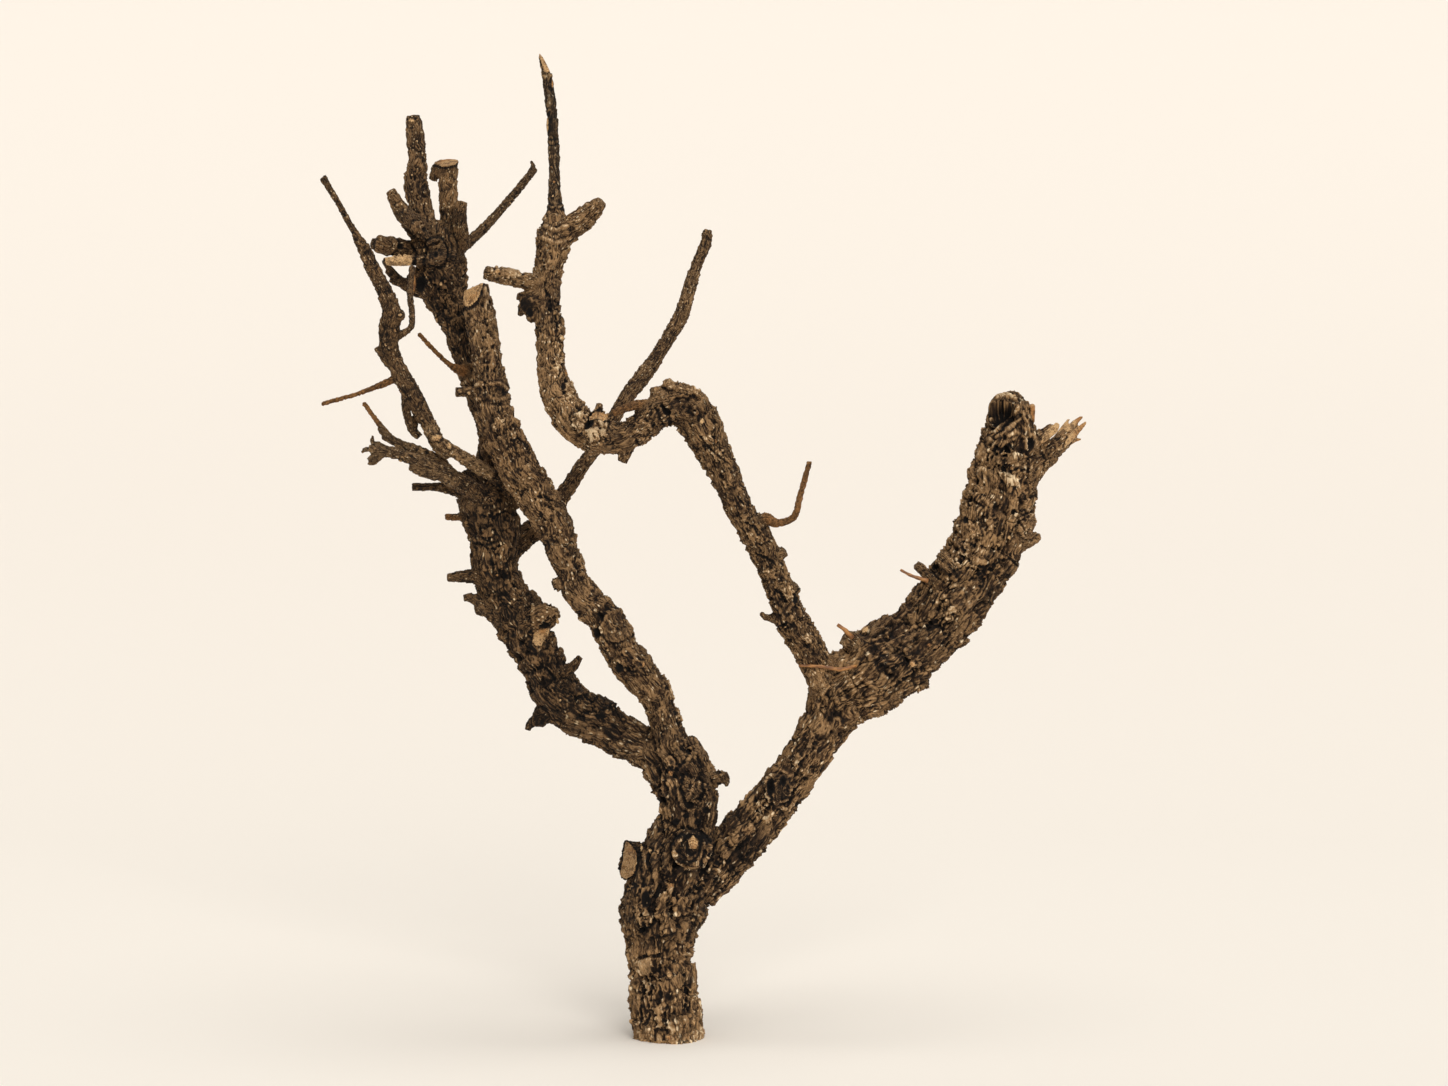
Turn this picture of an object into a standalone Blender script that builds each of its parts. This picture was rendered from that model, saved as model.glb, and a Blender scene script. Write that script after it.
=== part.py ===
"""A dry driftwood branch that stands on its sawn foot, in metres with +Z up.

The origin is the centre of the foot. +X runs to the right of the front view and -Y points at the viewer.
Each limb is a row of stations along its middle line. A station is (across, up, depth, radius) in
millimetres, as read against a ruler held at the foot while looking from VIEW_DISTANCE in front, so a limb
that lies nearer is brought closer to the line of sight by seen_to_real.
"""

import math

import bmesh
import bpy
import numpy as np
from mathutils import Vector

MM = 0.001
GAP = 0.3
VIEW_DISTANCE = 900.0
VIEW_ACROSS = 20.6
VIEW_UP = 178.7

# How far lumps, ridges and ledges stand out, as a share of a limb's radius
FLUTE = 0.05
LEDGE = 0.07
ROUGH = 0.055

# Sides and ring spacing of thick, middling and thin wood
THICK = (14, 5.6)
MIDDLE = (10, 6.2)
THIN = (6, 7.0)
SPUR = (5, 7.0)
FAT_SPUR = (7, 6.0)
RIDGE = (5, 8.5)

# Everything lower than this on the foot is laid flat on the ground
FOOT_BAND = 1.5

TRUNK = [
    (0.4, 0, 0, 12.7),
    (0.2, 7.4, 0, 12.6),
    (-0.9, 13.6, 0, 12.3),
    (-1.1, 20.8, 0, 11.8),
    (-2.2, 28, 0, 11.2),
    (-2.3, 35.2, 0, 12.4),
    (-1.8, 42.4, 0, 14.8),
    (-0.6, 49.6, 0, 15.4),
    (0.8, 56.8, 0, 14.4),
    (2.2, 64, 0, 13.2),
    (5, 72, 0, 11.6),
    (7.6, 80, -1, 10.3),
    (7, 87.4, -1, 11),
    (5.8, 93, -1, 11.6),
    (2.6, 100, 0, 11.6),
    (0.6, 106, 0, 9.6),
]

RIGHT_LIMB = [
    (10, 53, 0, 8.6),
    (17, 61, 0, 9.4),
    (23.8, 68.7, 1, 9.4),
    (32.8, 78.7, 2, 9),
    (40, 87.6, 3, 8.3),
    (44.3, 93.5, 3, 8.4),
    (51.1, 102.9, 4, 8.1),
    (57.5, 113.5, 5, 9.2),
    (64.1, 123.3, 6, 12.2),
    (71.8, 129.7, 7, 14.2),
    (80.3, 136.6, 8, 14.9),
    (92.2, 144.9, 10, 12.6),
    (99.4, 153.2, 11, 13.2),
    (108.1, 165.4, 12, 12.8),
    (115, 176.8, 13, 13.2),
    (119.4, 192, 13, 13),
    (121.4, 203.2, 12, 12.2),
    (123.6, 215.6, 10, 10.2),
    (124, 223.4, 8, 8.6),
    (122.8, 229.6, 7, 6.4),
    (122, 232.4, 6, 3.4),
]

ARCH = [
    (60.5, 118.5, 5, 6.6),
    (57.2, 128.3, 3, 6.5),
    (53.3, 136.3, 0, 5.9),
    (49.4, 143.5, -3, 5.9),
    (45, 150.7, -6, 6.1),
    (42.3, 157.9, -9, 5.2),
    (36.7, 172.3, -14, 5.1),
    (31.7, 182.4, -18, 5.4),
    (27, 189.6, -20, 5.1),
    (21.6, 202.1, -23, 5.4),
    (16.6, 212.2, -25, 6.3),
    (12.4, 220.6, -27, 7.4),
    (8.3, 226.8, -28, 7.8),
    (2.9, 228.6, -29, 7.8),
    (-3.2, 225.9, -30, 6.1),
    (-7.9, 221.9, -30, 5.6),
    (-14, 217.4, -30, 5.2),
    (-20.5, 216.6, -30, 6.1),
    (-26.2, 218.5, -29, 7.2),
    (-32, 221.2, -28, 7.1),
    (-36, 225.9, -26, 6.5),
    (-39.2, 232, -24, 6.1),
    (-41.4, 239.2, -22, 5.4),
    (-42.1, 248.2, -20, 4.9),
    (-42.5, 257.2, -18, 5),
    (-43.6, 266.2, -16, 5),
    (-43.2, 276.3, -15, 5.1),
    (-42.1, 281.9, -15, 5.7),
    (-41, 288.1, -14, 6.4),
    (-40.7, 293.7, -13, 4.7),
    (-40.3, 298.2, -12, 3.3),
    (-40.7, 306.1, -10, 2.2),
    (-41, 320.5, -7, 2),
    (-41.8, 334.9, -4, 2),
    (-42.8, 342.1, -2, 1.9),
    (-43.6, 348.6, -1, 1.8),
    (-45, 355.2, 0, 0.8),
]

LEFT_LIMB = [
    (2, 99.5, 1, 7.6),
    (-7.9, 104.6, 2, 7.4),
    (-16.9, 109.2, 3, 7.5),
    (-25.9, 114.4, 5, 8.2),
    (-33.8, 118.3, 7, 8.4),
    (-41, 126.2, 8, 8.4),
    (-45, 134.5, 9, 7.7),
    (-49.3, 143.5, 9, 8.8),
    (-52.9, 151.4, 9, 9.7),
    (-57.8, 158.2, 9, 8.6),
    (-61, 165.3, 9, 8.3),
    (-62.3, 172.3, 8, 8.6),
    (-61.9, 179.5, 8, 9.3),
    (-63.7, 186.7, 8, 9.8),
    (-66, 193.9, 8, 9.8),
    (-67.4, 200.2, 8, 7.8),
    (-68, 203.6, 8, 4.5),
]

HEAD_STEM = [
    (-63.5, 189.3, 9, 6.2),
    (-62.8, 197.3, 11, 6.2),
    (-63.2, 205.6, 13, 5.8),
    (-63.6, 219.4, 15, 4.8),
    (-68.8, 233.8, 16, 4.5),
    (-71.8, 243.9, 17, 4.6),
    (-74, 251.1, 17, 5),
    (-76.4, 259, 17, 5.7),
    (-79.8, 266.2, 17, 7.2),
    (-81.6, 273.4, 17, 8.8),
    (-82.6, 279.9, 17, 9.3),
    (-82.8, 285.9, 17, 9),
    (-82.8, 291.4, 17, 7.2),
    (-82.6, 294.9, 17, 4),
]

LEFT_PRONG = [
    (-86.2, 283.9, 18, 4.6),
    (-87.4, 292.9, 19, 4.6),
    (-88.9, 300.7, 20, 4.1),
    (-90.4, 306.1, 21, 4.5),
    (-90.7, 311.5, 22, 4),
    (-90.1, 316.9, 22, 3.3),
    (-90.7, 322.3, 23, 3.3),
    (-91.4, 329.5, 24, 3.1),
    (-91.8, 333.3, 24, 2.4),
]

RIGHT_PRONG = [
    (-77.2, 284.4, 15, 4.4),
    (-77.6, 292.9, 14, 4),
    (-78.8, 300.7, 13, 3.5),
    (-79.2, 306.1, 12, 3.4),
    (-79.1, 311.9, 12, 3.5),
    (-79.2, 317.5, 11, 3.6),
]

HEAD_TWIG = [
    (-75.6, 283.9, 19, 2),
    (-69.1, 289.9, 22, 1.9),
    (-63.7, 295.3, 26, 1.7),
    (-58.3, 301.4, 30, 1.6),
    (-52.9, 307.9, 34, 1.5),
    (-47.9, 314, 38, 1.4),
]

MID_STEM = [
    (2.6, 99, -2, 6.8),
    (0.9, 108, -3, 6.4),
    (-1.8, 117.5, -5, 5.3),
    (-5.4, 125.5, -7, 6.1),
    (-10.8, 132.2, -9, 6.9),
    (-16.2, 139.2, -10, 6.4),
    (-19.6, 146.4, -11, 6.8),
    (-22.8, 151.8, -12, 6.4),
    (-27.7, 156.5, -12, 6.1),
    (-32.2, 162.1, -12, 5.9),
    (-34.9, 169.1, -12, 5.2),
    (-37.8, 176.1, -12, 5.8),
    (-40.3, 183.1, -12, 6.4),
    (-43.6, 189.6, -12, 6.9),
    (-48.6, 197.5, -12, 7.3),
    (-53.6, 205.6, -12, 7.5),
    (-58, 214, -12, 7.5),
    (-61, 221.4, -12, 7),
    (-63, 228.4, -11, 6.4),
    (-63.6, 234.5, -10, 6.2),
    (-64.5, 241, -9, 5.4),
    (-65.9, 250, -8, 5.4),
    (-67.3, 259, -6, 5.5),
    (-68.5, 266.2, -5, 5),
    (-69.4, 271.1, -4, 4.6),
]

DIAGONAL_TWIG = [
    (-60.5, 173.8, 9, 4.8),
    (-53.6, 179.7, 11, 4.4),
    (-48.2, 183.8, 12, 4.1),
    (-42.8, 189.6, 13, 3.5),
    (-37.8, 195.7, 14, 3),
    (-31.3, 205.7, 15, 2.6),
    (-27, 211.5, 16, 2.4),
    (-19.8, 223, 18, 2.5),
    (-16.4, 228.6, 19, 2.6),
    (-12.6, 234.2, 21, 2.9),
    (-8.6, 239, 23, 3.1),
    (-4.3, 245, 25, 2.7),
    (0.4, 252.5, 27, 2.5),
    (4.5, 259.7, 29, 2.8),
    (6.8, 266.2, 31, 2.5),
    (9, 274.1, 33, 2.4),
    (11.2, 280.5, 35, 2),
    (14, 287, 37, 2.1),
    (14.4, 291.9, 38, 1.7),
]

LOWER_BRANCH = [
    (-62, 192.9, 5, 3.6),
    (-66.2, 195.7, 0, 3.5),
    (-70.9, 198.2, -4, 3.5),
    (-76.3, 201.4, -9, 3.4),
    (-81.7, 204.3, -14, 3.2),
    (-88.9, 207.7, -20, 2.6),
    (-94.3, 209.9, -24, 2.2),
    (-99.7, 211.5, -28, 2.1),
    (-103.4, 211.9, -31, 2.2),
    (-107, 212.2, -34, 1.4),
]

UPPER_BRANCH = [
    (-55, 191.8, 6, 2.6),
    (-57, 197.7, 1, 2.5),
    (-63.7, 203.4, -5, 2.5),
    (-70.9, 207.9, -11, 2.5),
    (-77.8, 212.2, -16, 2.3),
    (-80.2, 213.8, -17, 2.5),
    (-83.4, 216.2, -19, 2.1),
    (-86.6, 219, -22, 1.6),
]

LEFT_TWIG = [
    (-78.4, 210.4, -14, 2.4),
    (-82.8, 214.8, -15, 2.8),
    (-86, 221.2, -15, 2.9),
    (-88.9, 226.6, -14, 3.2),
    (-91.8, 232, -14, 3.5),
    (-95.4, 238.4, -14, 3.2),
    (-98.6, 244.6, -14, 3.2),
    (-100.4, 250, -15, 3.5),
    (-100.4, 256.1, -15, 3.8),
    (-99.7, 262.6, -16, 3.5),
    (-101.5, 268.2, -17, 3.1),
    (-104, 273.4, -18, 2.8),
    (-106.9, 278.8, -20, 2.7),
    (-109.4, 284.5, -22, 2.4),
    (-112, 289.1, -24, 1.7),
    (-114, 292.7, -25, 1.3),
    (-119.5, 302.5, -28, 1.2),
    (-122.2, 307, -29, 1.2),
    (-125.2, 310.7, -30, 0.9),
]

# Spurs, stubs and twigs fused to a limb, each from inside the wood to its tip
SPURS = {
    "trunk": [
        [(-2, 62.5, -2, 7), (-11, 63.6, -3, 6.9), (-15.6, 64.2, -4, 6.7)],
        [(7.5, 67, -4, 6.6), (8.2, 69, -12, 7), (8.6, 70, -16.5, 6)],
        [(7, 86, -4, 6.5), (10, 89, -9, 6.2), (11, 90, -12, 4.6)],
        [(12, 91, -4, 3.4), (17.5, 93.6, -6, 2.6), (20.4, 95.6, -7, 1.4)],
        [(-6, 44, 0, 7), (-11.5, 46, -2, 6.5), (-14.6, 49, -3, 4)],
    ],
    "right_limb": [
        [(38, 87, 0, 5.4), (39.6, 89.6, -4.5, 5.4), (40, 90.2, -7, 4.6)],
    ],
    "right_arm": [
        [(126, 195.3, 10, 5), (132.5, 206, 10, 4.6), (139.7, 212.6, 12, 3.7), (144.6, 217.2, 13, 3),
         (148.6, 221, 13, 1.8)],
        [(122, 183.3, 10, 7), (127.6, 186.3, 8, 6.4), (131, 188.7, 6, 3.6)],
        [(126, 178.3, 12, 4), (132.4, 180.3, 11, 2.4), (135, 180.9, 11, 1.2)],
        [(98, 163.3, 6, 2.6), (92.4, 168.9, 3, 1.9), (90, 170.7, 2, 1.7)],
        [(104, 167.3, 4, 3.2), (100.4, 172.7, 0, 2.4), (98.6, 174.9, -1, 1.8)],
        [(87, 134.3, 8, 5), (91.6, 127.9, 8, 3.6), (92.8, 125.5, 8, 2)],
        [(74, 138.5, 3, 4.6), (67.6, 142.9, 1, 3.6), (64, 144.6, 0, 2.6)],
        [(128, 211.6, 9, 4), (136, 217.6, 9, 2.6), (139.8, 221.2, 9, 1.3)],
    ],
    "arch_limb": [
        [(30, 183.3, -18, 3.2), (35.6, 187.4, -20, 2.4), (39.4, 185.8, -22, 1.6), (45.8, 188, -26, 1.3),
         (48, 195.3, -30, 1.2), (51.6, 208.2, -35, 1)],
        [(40, 151.3, -7, 2.4), (36, 151.7, -8, 1.2)],
        [(39, 173.3, -15, 3), (42.6, 175.9, -16, 2)],
        [(43.6, 160.3, -9, 3), (47.2, 163.3, -10, 2)],
        [(1.2, 230.2, -30, 3.6), (0.4, 236, -31, 2.6), (0.2, 238, -31, 1.4)],
        [(9.4, 228.6, -28, 3.2), (9.6, 234.2, -29, 2)],
        [(-3.4, 227.6, -30, 3), (-4.6, 235.2, -31, 1.8)],
        [(-4, 228.4, -31, 2.6), (-11, 228.6, -33, 1.8), (-17.4, 226.6, -34, 1.6), (-19.6, 225.6, -34, 1.3)],
        [(-14, 215.6, -30, 3.4), (-16.4, 208, -30, 1.8)],
    ],
    "arch_rise": [
        [(-43.4, 272.6, -15, 3.8), (-47.5, 273, -17, 3.2), (-56.5, 274.4, -21, 2.9), (-65.9, 276.6, -25, 2.6)],
        [(-40, 289.1, -14, 5), (-33.6, 293.3, -16, 4.6), (-27.7, 298.2, -18, 3.8), (-23.6, 302.3, -20, 2.2)],
        [(-45, 266.6, -16, 4.6), (-49.6, 265.6, -17, 4.4), (-51.8, 264.6, -17, 2.6)],
        [(-25.4, 223.6, -28, 2.2), (-24.4, 229.2, -28, 1.2)],
        [(-27.4, 219.2, -32, 4.6), (-27.4, 220.2, -37.5, 4)],
        [(-27, 216.2, -28, 3.6), (-27.4, 210.6, -28, 2.2)],
    ],
    "left_limb": [
        [(-41.6, 119.3, 8, 5), (-45.6, 115.4, 8, 3.8), (-46.6, 112.6, 8, 2)],
        [(-50, 151.3, 4, 5.6), (-43.6, 152.3, 1, 4.6), (-40.4, 152.9, 0, 2.6)],
        [(-64, 165.7, 6, 3.6), (-71, 166.7, 3, 2.6), (-79.6, 166.2, 1, 1.5)],
        [(-68, 188.1, 6, 2), (-75, 188.1, 4, 1.4), (-80.4, 188.1, 3, 1.2)],
        [(-64, 156.3, 8, 5), (-69.4, 155.9, 8, 3.4)],
        [(-70, 197.3, 5, 4), (-77, 198.4, 1, 2.8), (-84, 199, -3, 1.6), (-92.2, 198.9, -6, 1.4)],
        [(-70, 192, 6, 5), (-75, 191.6, 5, 3.4)],
        [(-68, 199.6, 4, 3.2), (-73, 203, -3, 3)],
    ],
    "mid_stem": [
        [(-63, 233.6, -10, 2.8), (-69, 233.4, -12, 2), (-76.3, 233.4, -14, 1.9)],
        [(-39, 185.3, -12, 3.6), (-34.6, 186.7, -13, 2.2)],
        [(-12, 137.3, -9, 3), (-8.2, 140.7, -9, 1.8)],
        [(-36, 165.3, -12, 3.4), (-41.6, 163.3, -13, 1.8)],
        [(-21, 147.3, -11, 3.6), (-26.6, 144.9, -12, 1.8)],
        [(-60, 235.2, -10, 3), (-57.4, 236.2, -10, 1.8)],
    ],
    "head_stem": [
        [(-73, 240.6, 14, 2.4), (-76.3, 241.8, 8, 1.6), (-79.4, 243.8, 5, 1), (-85.4, 249.6, 1, 0.9),
         (-90, 254.6, -2, 0.9)],
        [(-87.6, 288.5, 14, 4.4), (-89.6, 291.7, 11, 4.2), (-96.1, 298.9, 7, 3), (-100.1, 306.1, 4, 1.9)],
        [(-89, 284.3, 17, 3.6), (-95, 285.3, 14, 3.4), (-101.5, 286.3, 12, 3.4), (-106.9, 287, 10, 2)],
        [(-79, 281.9, 10, 3.6), (-83, 281.7, 6, 2.9), (-87.1, 280.9, 4, 2.2), (-93.2, 280.9, 2, 1.9),
         (-102.6, 280.5, 0, 1.6)],
        [(-88, 269.6, 16, 3), (-92.5, 270.5, 14, 2.2), (-97.9, 274.5, 12, 1.8), (-101.2, 277.7, 11, 1.5)],
        [(-74.6, 285.9, 14, 3.4), (-75, 297.1, 7, 2.6), (-74.4, 302.3, 6, 2.3)],
    ],
    "right_prong": [
        [(-79.6, 316, 12, 2.8), (-83, 314.9, 13, 2), (-84.8, 309.8, 14, 1.6)],
    ],
    "lower_branch": [
        [(-78.6, 203.4, -11, 2.8), (-82.8, 208.2, -10, 2.5), (-88.9, 211.3, -14, 2.2), (-96.1, 214.2, -18, 1.9),
         (-102.6, 217.6, -22, 1.5)],
        [(-102, 211.8, -29, 2), (-108, 208.9, -35, 1)],
        [(-83, 203.6, -15, 2.8), (-90, 205, -20, 1.8), (-93.2, 206, -22, 1)],
        [(-101.6, 212, -29, 1.8), (-104.8, 215, -33, 0.9)],
        [(-99.6, 215.8, -20, 1.6), (-105.1, 223, -24, 1), (-109.8, 229.5, -28, 0.9)],
    ],
    "left_twig": [
        [(-94.6, 237.6, -13, 1.8), (-94.4, 227.2, -12, 1.6), (-92.4, 220.2, -11, 1.6), (-89.6, 217, -10, 1.5)],
        [(-92.4, 219.2, -11, 1.8), (-91.6, 222.2, -10, 1.9), (-91, 224.6, -9, 1.2)],
        [(-98, 238.2, -14, 1.6), (-110.5, 233.2, -19, 0.9), (-124.9, 228.9, -24, 0.9)],
        [(-100.4, 243.2, -14, 1.8), (-105.1, 249.4, -16, 1.1)],
        [(-99.4, 260.2, -16, 2.6), (-95.4, 261.6, -17, 2)],
        [(-100, 252.2, -15, 1.8), (-93.4, 256, -12, 1.2), (-92.2, 259.6, -11, 1.2), (-92.9, 269, -8, 1.2),
         (-92.2, 278.8, -5, 1.2)],
        [(-121.6, 306.1, -29, 1), (-124, 311.8, -31, 0.8)],
    ],
}

# Ribs and lips of the trunk's bark: the front knot's heart and its lips, the ribs between the knot and the
# pruned stub, a strip near the foot, and the ribs at the back
RIDGES = [
    [(9.2, 70.2, -15, 2.4), (9.4, 70.4, -17.6, 2)],
    [(11.6, 75.4, -14, 0.9), (14.6, 71.6, -15, 1.3), (14.2, 66.4, -15, 1.3), (11.2, 63, -14.6, 0.9)],
    [(3, 73, -12.6, 0.9), (2.2, 67.6, -13.8, 1.2), (4.8, 63.2, -14.4, 1)],
    [(-8.8, 67.5, -7.6, 0.9), (-8.4, 63, -9.8, 1.3), (-8.8, 56, -10.6, 1.2), (-9, 51.5, -11.6, 0.9)],
    [(-4.6, 70, -8.3, 0.9), (-4.4, 63, -11.9, 1.3), (-5, 54, -13.9, 1)],
    [(-1.2, 70, -10.9, 0.9), (-0.8, 62, -13.4, 1.2), (-1.6, 53.6, -14.8, 0.9)],
    [(-4.6, 13, -11.4, 0.8), (-3.2, 8, -12.2, 1.3), (-3.4, 2.4, -12.4, 1)],
    [(3, 62, 13.2, 1), (1.6, 50, 15.4, 1.6), (-1, 36, 12.6, 1.2), (-1.4, 26, 11.4, 0.8)],
    [(-8, 52, 12.6, 1), (-9, 42, 12.4, 1.5), (-7.6, 30, 9.6, 1)],
    [(10, 54, 11.4, 1), (8.4, 40, 9.8, 1.4), (6.4, 24, 8.6, 1)],
]

# Bark plates of the trunk's front, by their corners on the outer face, and how thick they are
PLATE_DEPTH = 3.0
PLATES = [
    [(-4.4, 49.5, -15.8), (-1, 52.2, -16), (1.2, 49, -16.4), (0.4, 44.6, -16.4), (-3.4, 44, -15.8)],
    [(2, 49.6, -16.2), (5.2, 51, -15.6), (8.8, 48.2, -13.4), (7.6, 44.2, -13.6), (2.2, 44, -15.8)],
    [(-1.8, 43.2, -16), (2.4, 43.2, -15.6), (3.4, 39.8, -14.6), (0.6, 37.4, -14.2), (-2, 39.6, -14.6)],
    [(-9.8, 27, -9.2), (-7.6, 28.9, -10.8), (-5.2, 27.4, -11.9), (-5, 22.6, -12), (-9, 22.4, -9.6)],
]

# The slanted cut on top of the mid stem faces the viewer
SLANT_PLACE = (-69.0, 267.6, -8.0)
SLANT_NORMAL = (-0.35, -0.62, 0.70)

# The rot hollow in the broken top of the right arm: across, up, depth and radii
HOLLOW_PLACE = (121.0, 224.0, 3.0)
HOLLOW_RADII = (3.4, 5.0, 4.6)

# How deep limbs are for their width: the right arm is flat, and the left limb, mid stem and head are deep
ARM_DEPTH = 0.76
LEFT_DEPTH = 1.2
MID_DEPTH = 1.12
HEAD_DEPTH = 1.25


def seen_to_real(station):
    """The true place and radius, in millimetres, of a station read from in front."""
    across, up, depth, radius = station
    nearer = (VIEW_DISTANCE + depth) / VIEW_DISTANCE
    place = (VIEW_ACROSS + (across - VIEW_ACROSS) * nearer, depth, VIEW_UP + (up - VIEW_UP) * nearer)
    return np.array([*place, radius * nearer])


def smooth_path(stations, step):
    """Points (x, y, z, radius) about step apart on a smooth curve through the stations."""
    known = np.array([seen_to_real(station) for station in stations])
    padded = np.vstack([2 * known[0] - known[1], known, 2 * known[-1] - known[-2]])
    points = []
    for before, start, end, after in zip(padded, padded[1:], padded[2:], padded[3:]):
        count = max(1, round(np.linalg.norm((end - start)[:3]) / step))
        for t in np.arange(count) / count:
            bend = (2 * before - 5 * start + 4 * end - after) * t**2
            twist = (3 * start - before - 3 * end + after) * t**3
            points.append(0.5 * (2 * start + (end - before) * t + bend + twist))
    points.append(known[-1])
    return np.array(points)


def cross_axes(along):
    """Two axes across a limb: the second is as near as it can be to the depth of the front view."""
    reference = np.array([0, 1, 0]) if abs(along[1]) < 0.8 else np.array([0, 0, 1])
    first = np.cross(along, reference)
    first /= np.linalg.norm(first)
    return first, np.cross(first, along)


def lumps(distance, angles, seed):
    """How far the bark stands out around a limb, as a share of its radius: flutes, then ledges."""
    flutes = np.sin(3 * angles + seed + 0.05 * distance) + np.sin(5 * angles - 2 * seed - 0.09 * distance)
    ledge = (distance / 11 + 0.25 * np.sin(angles + seed)) % 1 - 0.5
    return FLUTE * flutes / 2 + LEDGE * ledge


class Limb:
    """A grown limb: its middle line and the lumpy ring of bark at each point along it."""

    def __init__(self, stations, size, seed, depth=1.0):
        sides, step = size
        path = smooth_path(stations, step)
        chance = np.random.default_rng(seed)
        angles = np.arange(sides) * 2 * math.pi / sides
        self.places = path[:, :3]
        self.radii = path[:, 3]
        steps = np.gradient(self.places, axis=0)
        self.along = steps / np.linalg.norm(steps, axis=1)[:, None]
        far = np.concatenate([[0], np.cumsum(np.linalg.norm(np.diff(self.places, axis=0), axis=1))])
        self.rings = []
        for place, radius, along, distance in zip(self.places, self.radii, self.along, far):
            first, second = cross_axes(along)
            grown = radius * (1 + lumps(distance, angles, seed) + ROUGH * chance.uniform(-1, 1, sides))
            ring = np.outer(grown * np.cos(angles), first) + np.outer(depth * grown * np.sin(angles), second)
            self.rings.append(place + ring)

    def at(self, station):
        """The number of the ring nearest to a station, where the limb is divided between two nodes."""
        return int(np.argmin(np.linalg.norm(self.places - seen_to_real(station)[:3], axis=1)))

    def solid(self, first=0, last=None, tip="cut"):
        """The closed stretch from one ring to another, as a bmesh. A later start leaves GAP before it."""
        last = len(self.rings) - 1 if last is None else last
        wood = bmesh.new()
        rows = []
        for number in range(first, last + 1):
            shift = self.along[number] * GAP if first and number == first else 0
            rows.append([wood.verts.new(Vector(point * MM)) for point in self.rings[number] + shift])
        sides = len(rows[0])
        for lower, upper in zip(rows, rows[1:]):
            for k in range(sides):
                wood.faces.new((lower[k], lower[(k + 1) % sides], upper[(k + 1) % sides], upper[k]))
        wood.faces.new(tuple(reversed(rows[0])))
        if tip == "broken":
            self.break_tip(wood, rows[-1], last)
        else:
            wood.faces.new(tuple(rows[-1]))
        bmesh.ops.recalc_face_normals(wood, faces=wood.faces)
        return wood

    def break_tip(self, wood, rim, last):
        """Closes the end with a ragged rim around a shallow hollow."""
        reach = self.along[last] * self.radii[last]
        middle = wood.verts.new(Vector((self.places[last] - 0.4 * reach) * MM))
        for k, vertex in enumerate(rim):
            vertex.co += Vector(reach * (0.35 + 0.45 * math.sin(2.4 * k + last)) * MM)
            wood.faces.new((vertex, rim[(k + 1) % len(rim)], middle))


def bark_plate(corners):
    """A flat plate of bark, set into the wood behind it."""
    plate = bmesh.new()
    outer = [seen_to_real((*corner, 0))[:3] for corner in corners]
    middle = np.mean(outer, axis=0) - [0, 0.5, 0]
    front = [plate.verts.new(Vector(point * MM)) for point in outer]
    back = [plate.verts.new(Vector((point + [0, PLATE_DEPTH, 0]) * MM)) for point in outer]
    hub = plate.verts.new(Vector(middle * MM))
    for k in range(len(outer)):
        after = (k + 1) % len(outer)
        plate.faces.new((front[k], front[after], hub))
        plate.faces.new((front[after], front[k], back[k], back[after]))
    plate.faces.new(back)
    bmesh.ops.recalc_face_normals(plate, faces=plate.faces)
    return plate


def mesh_object(name, wood):
    mesh = bpy.data.meshes.new(name)
    wood.to_mesh(mesh)
    wood.free()
    thing = bpy.data.objects.new(name, mesh)
    bpy.context.scene.collection.objects.link(thing)
    return thing


def combine(thing, wood, operation):
    """Joins a closed bmesh to the object, or cuts it away, with an exact Boolean."""
    other = mesh_object("helper", wood)
    modifier = thing.modifiers.new("combine", "BOOLEAN")
    modifier.operation = operation
    modifier.solver = "EXACT"
    modifier.object = other
    graph = bpy.context.evaluated_depsgraph_get()
    result = bpy.data.meshes.new_from_object(thing.evaluated_get(graph))
    thing.modifiers.clear()
    thing.data = result
    bpy.data.objects.remove(other)


def bark(name, colour, roughness):
    material = bpy.data.materials.new(name)
    material.use_nodes = True
    shader = material.node_tree.nodes["Principled BSDF"]
    shader.inputs["Base Color"].default_value = (*colour, 1)
    shader.inputs["Roughness"].default_value = roughness
    shader.inputs["Metallic"].default_value = 0
    material.diffuse_color = (*colour, 1)
    return material


def node(name, wood, roots, material):
    """One named solid: a stretch of limb, the roots of the limbs that grow from it, and its spurs."""
    thing = mesh_object(name, wood)
    for root in roots:
        combine(thing, root, "UNION")
    for count, stations in enumerate(SPURS.get(name, [])):
        size = FAT_SPUR if max(station[3] for station in stations) > 4 else SPUR
        combine(thing, Limb(stations, size, len(name) * 31 + count).solid(), "UNION")
    thing.data.materials.clear()
    thing.data.materials.append(material)
    return thing


def flatten_foot(thing):
    """The sawn end lies exactly on the ground."""
    for vertex in thing.data.vertices:
        if vertex.co.z < FOOT_BAND * MM:
            vertex.co.z = 0


def slice_top(thing, place, normal):
    """Cuts the object off at a plane, and closes the cut."""
    wood = bmesh.new()
    wood.from_mesh(thing.data)
    geometry = wood.verts[:] + wood.edges[:] + wood.faces[:]
    real = Vector(seen_to_real((*place, 0))[:3] * MM)
    cut = bmesh.ops.bisect_plane(wood, geom=geometry, plane_co=real, plane_no=Vector(normal), clear_outer=True)
    rim = [part for part in cut["geom_cut"] if isinstance(part, bmesh.types.BMEdge)]
    bmesh.ops.edgenet_fill(wood, edges=rim)
    bmesh.ops.recalc_face_normals(wood, faces=wood.faces)
    wood.to_mesh(thing.data)
    wood.free()


def rot_hollow():
    """An egg-shaped pit for the broken top of the right arm."""
    ball = bmesh.new()
    bmesh.ops.create_icosphere(ball, subdivisions=2, radius=1)
    place = seen_to_real((*HOLLOW_PLACE, 0))[:3]
    for vertex in ball.verts:
        vertex.co = Vector([(place[k] + vertex.co[k] * HOLLOW_RADII[k]) * MM for k in range(3)])
    return ball


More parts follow.
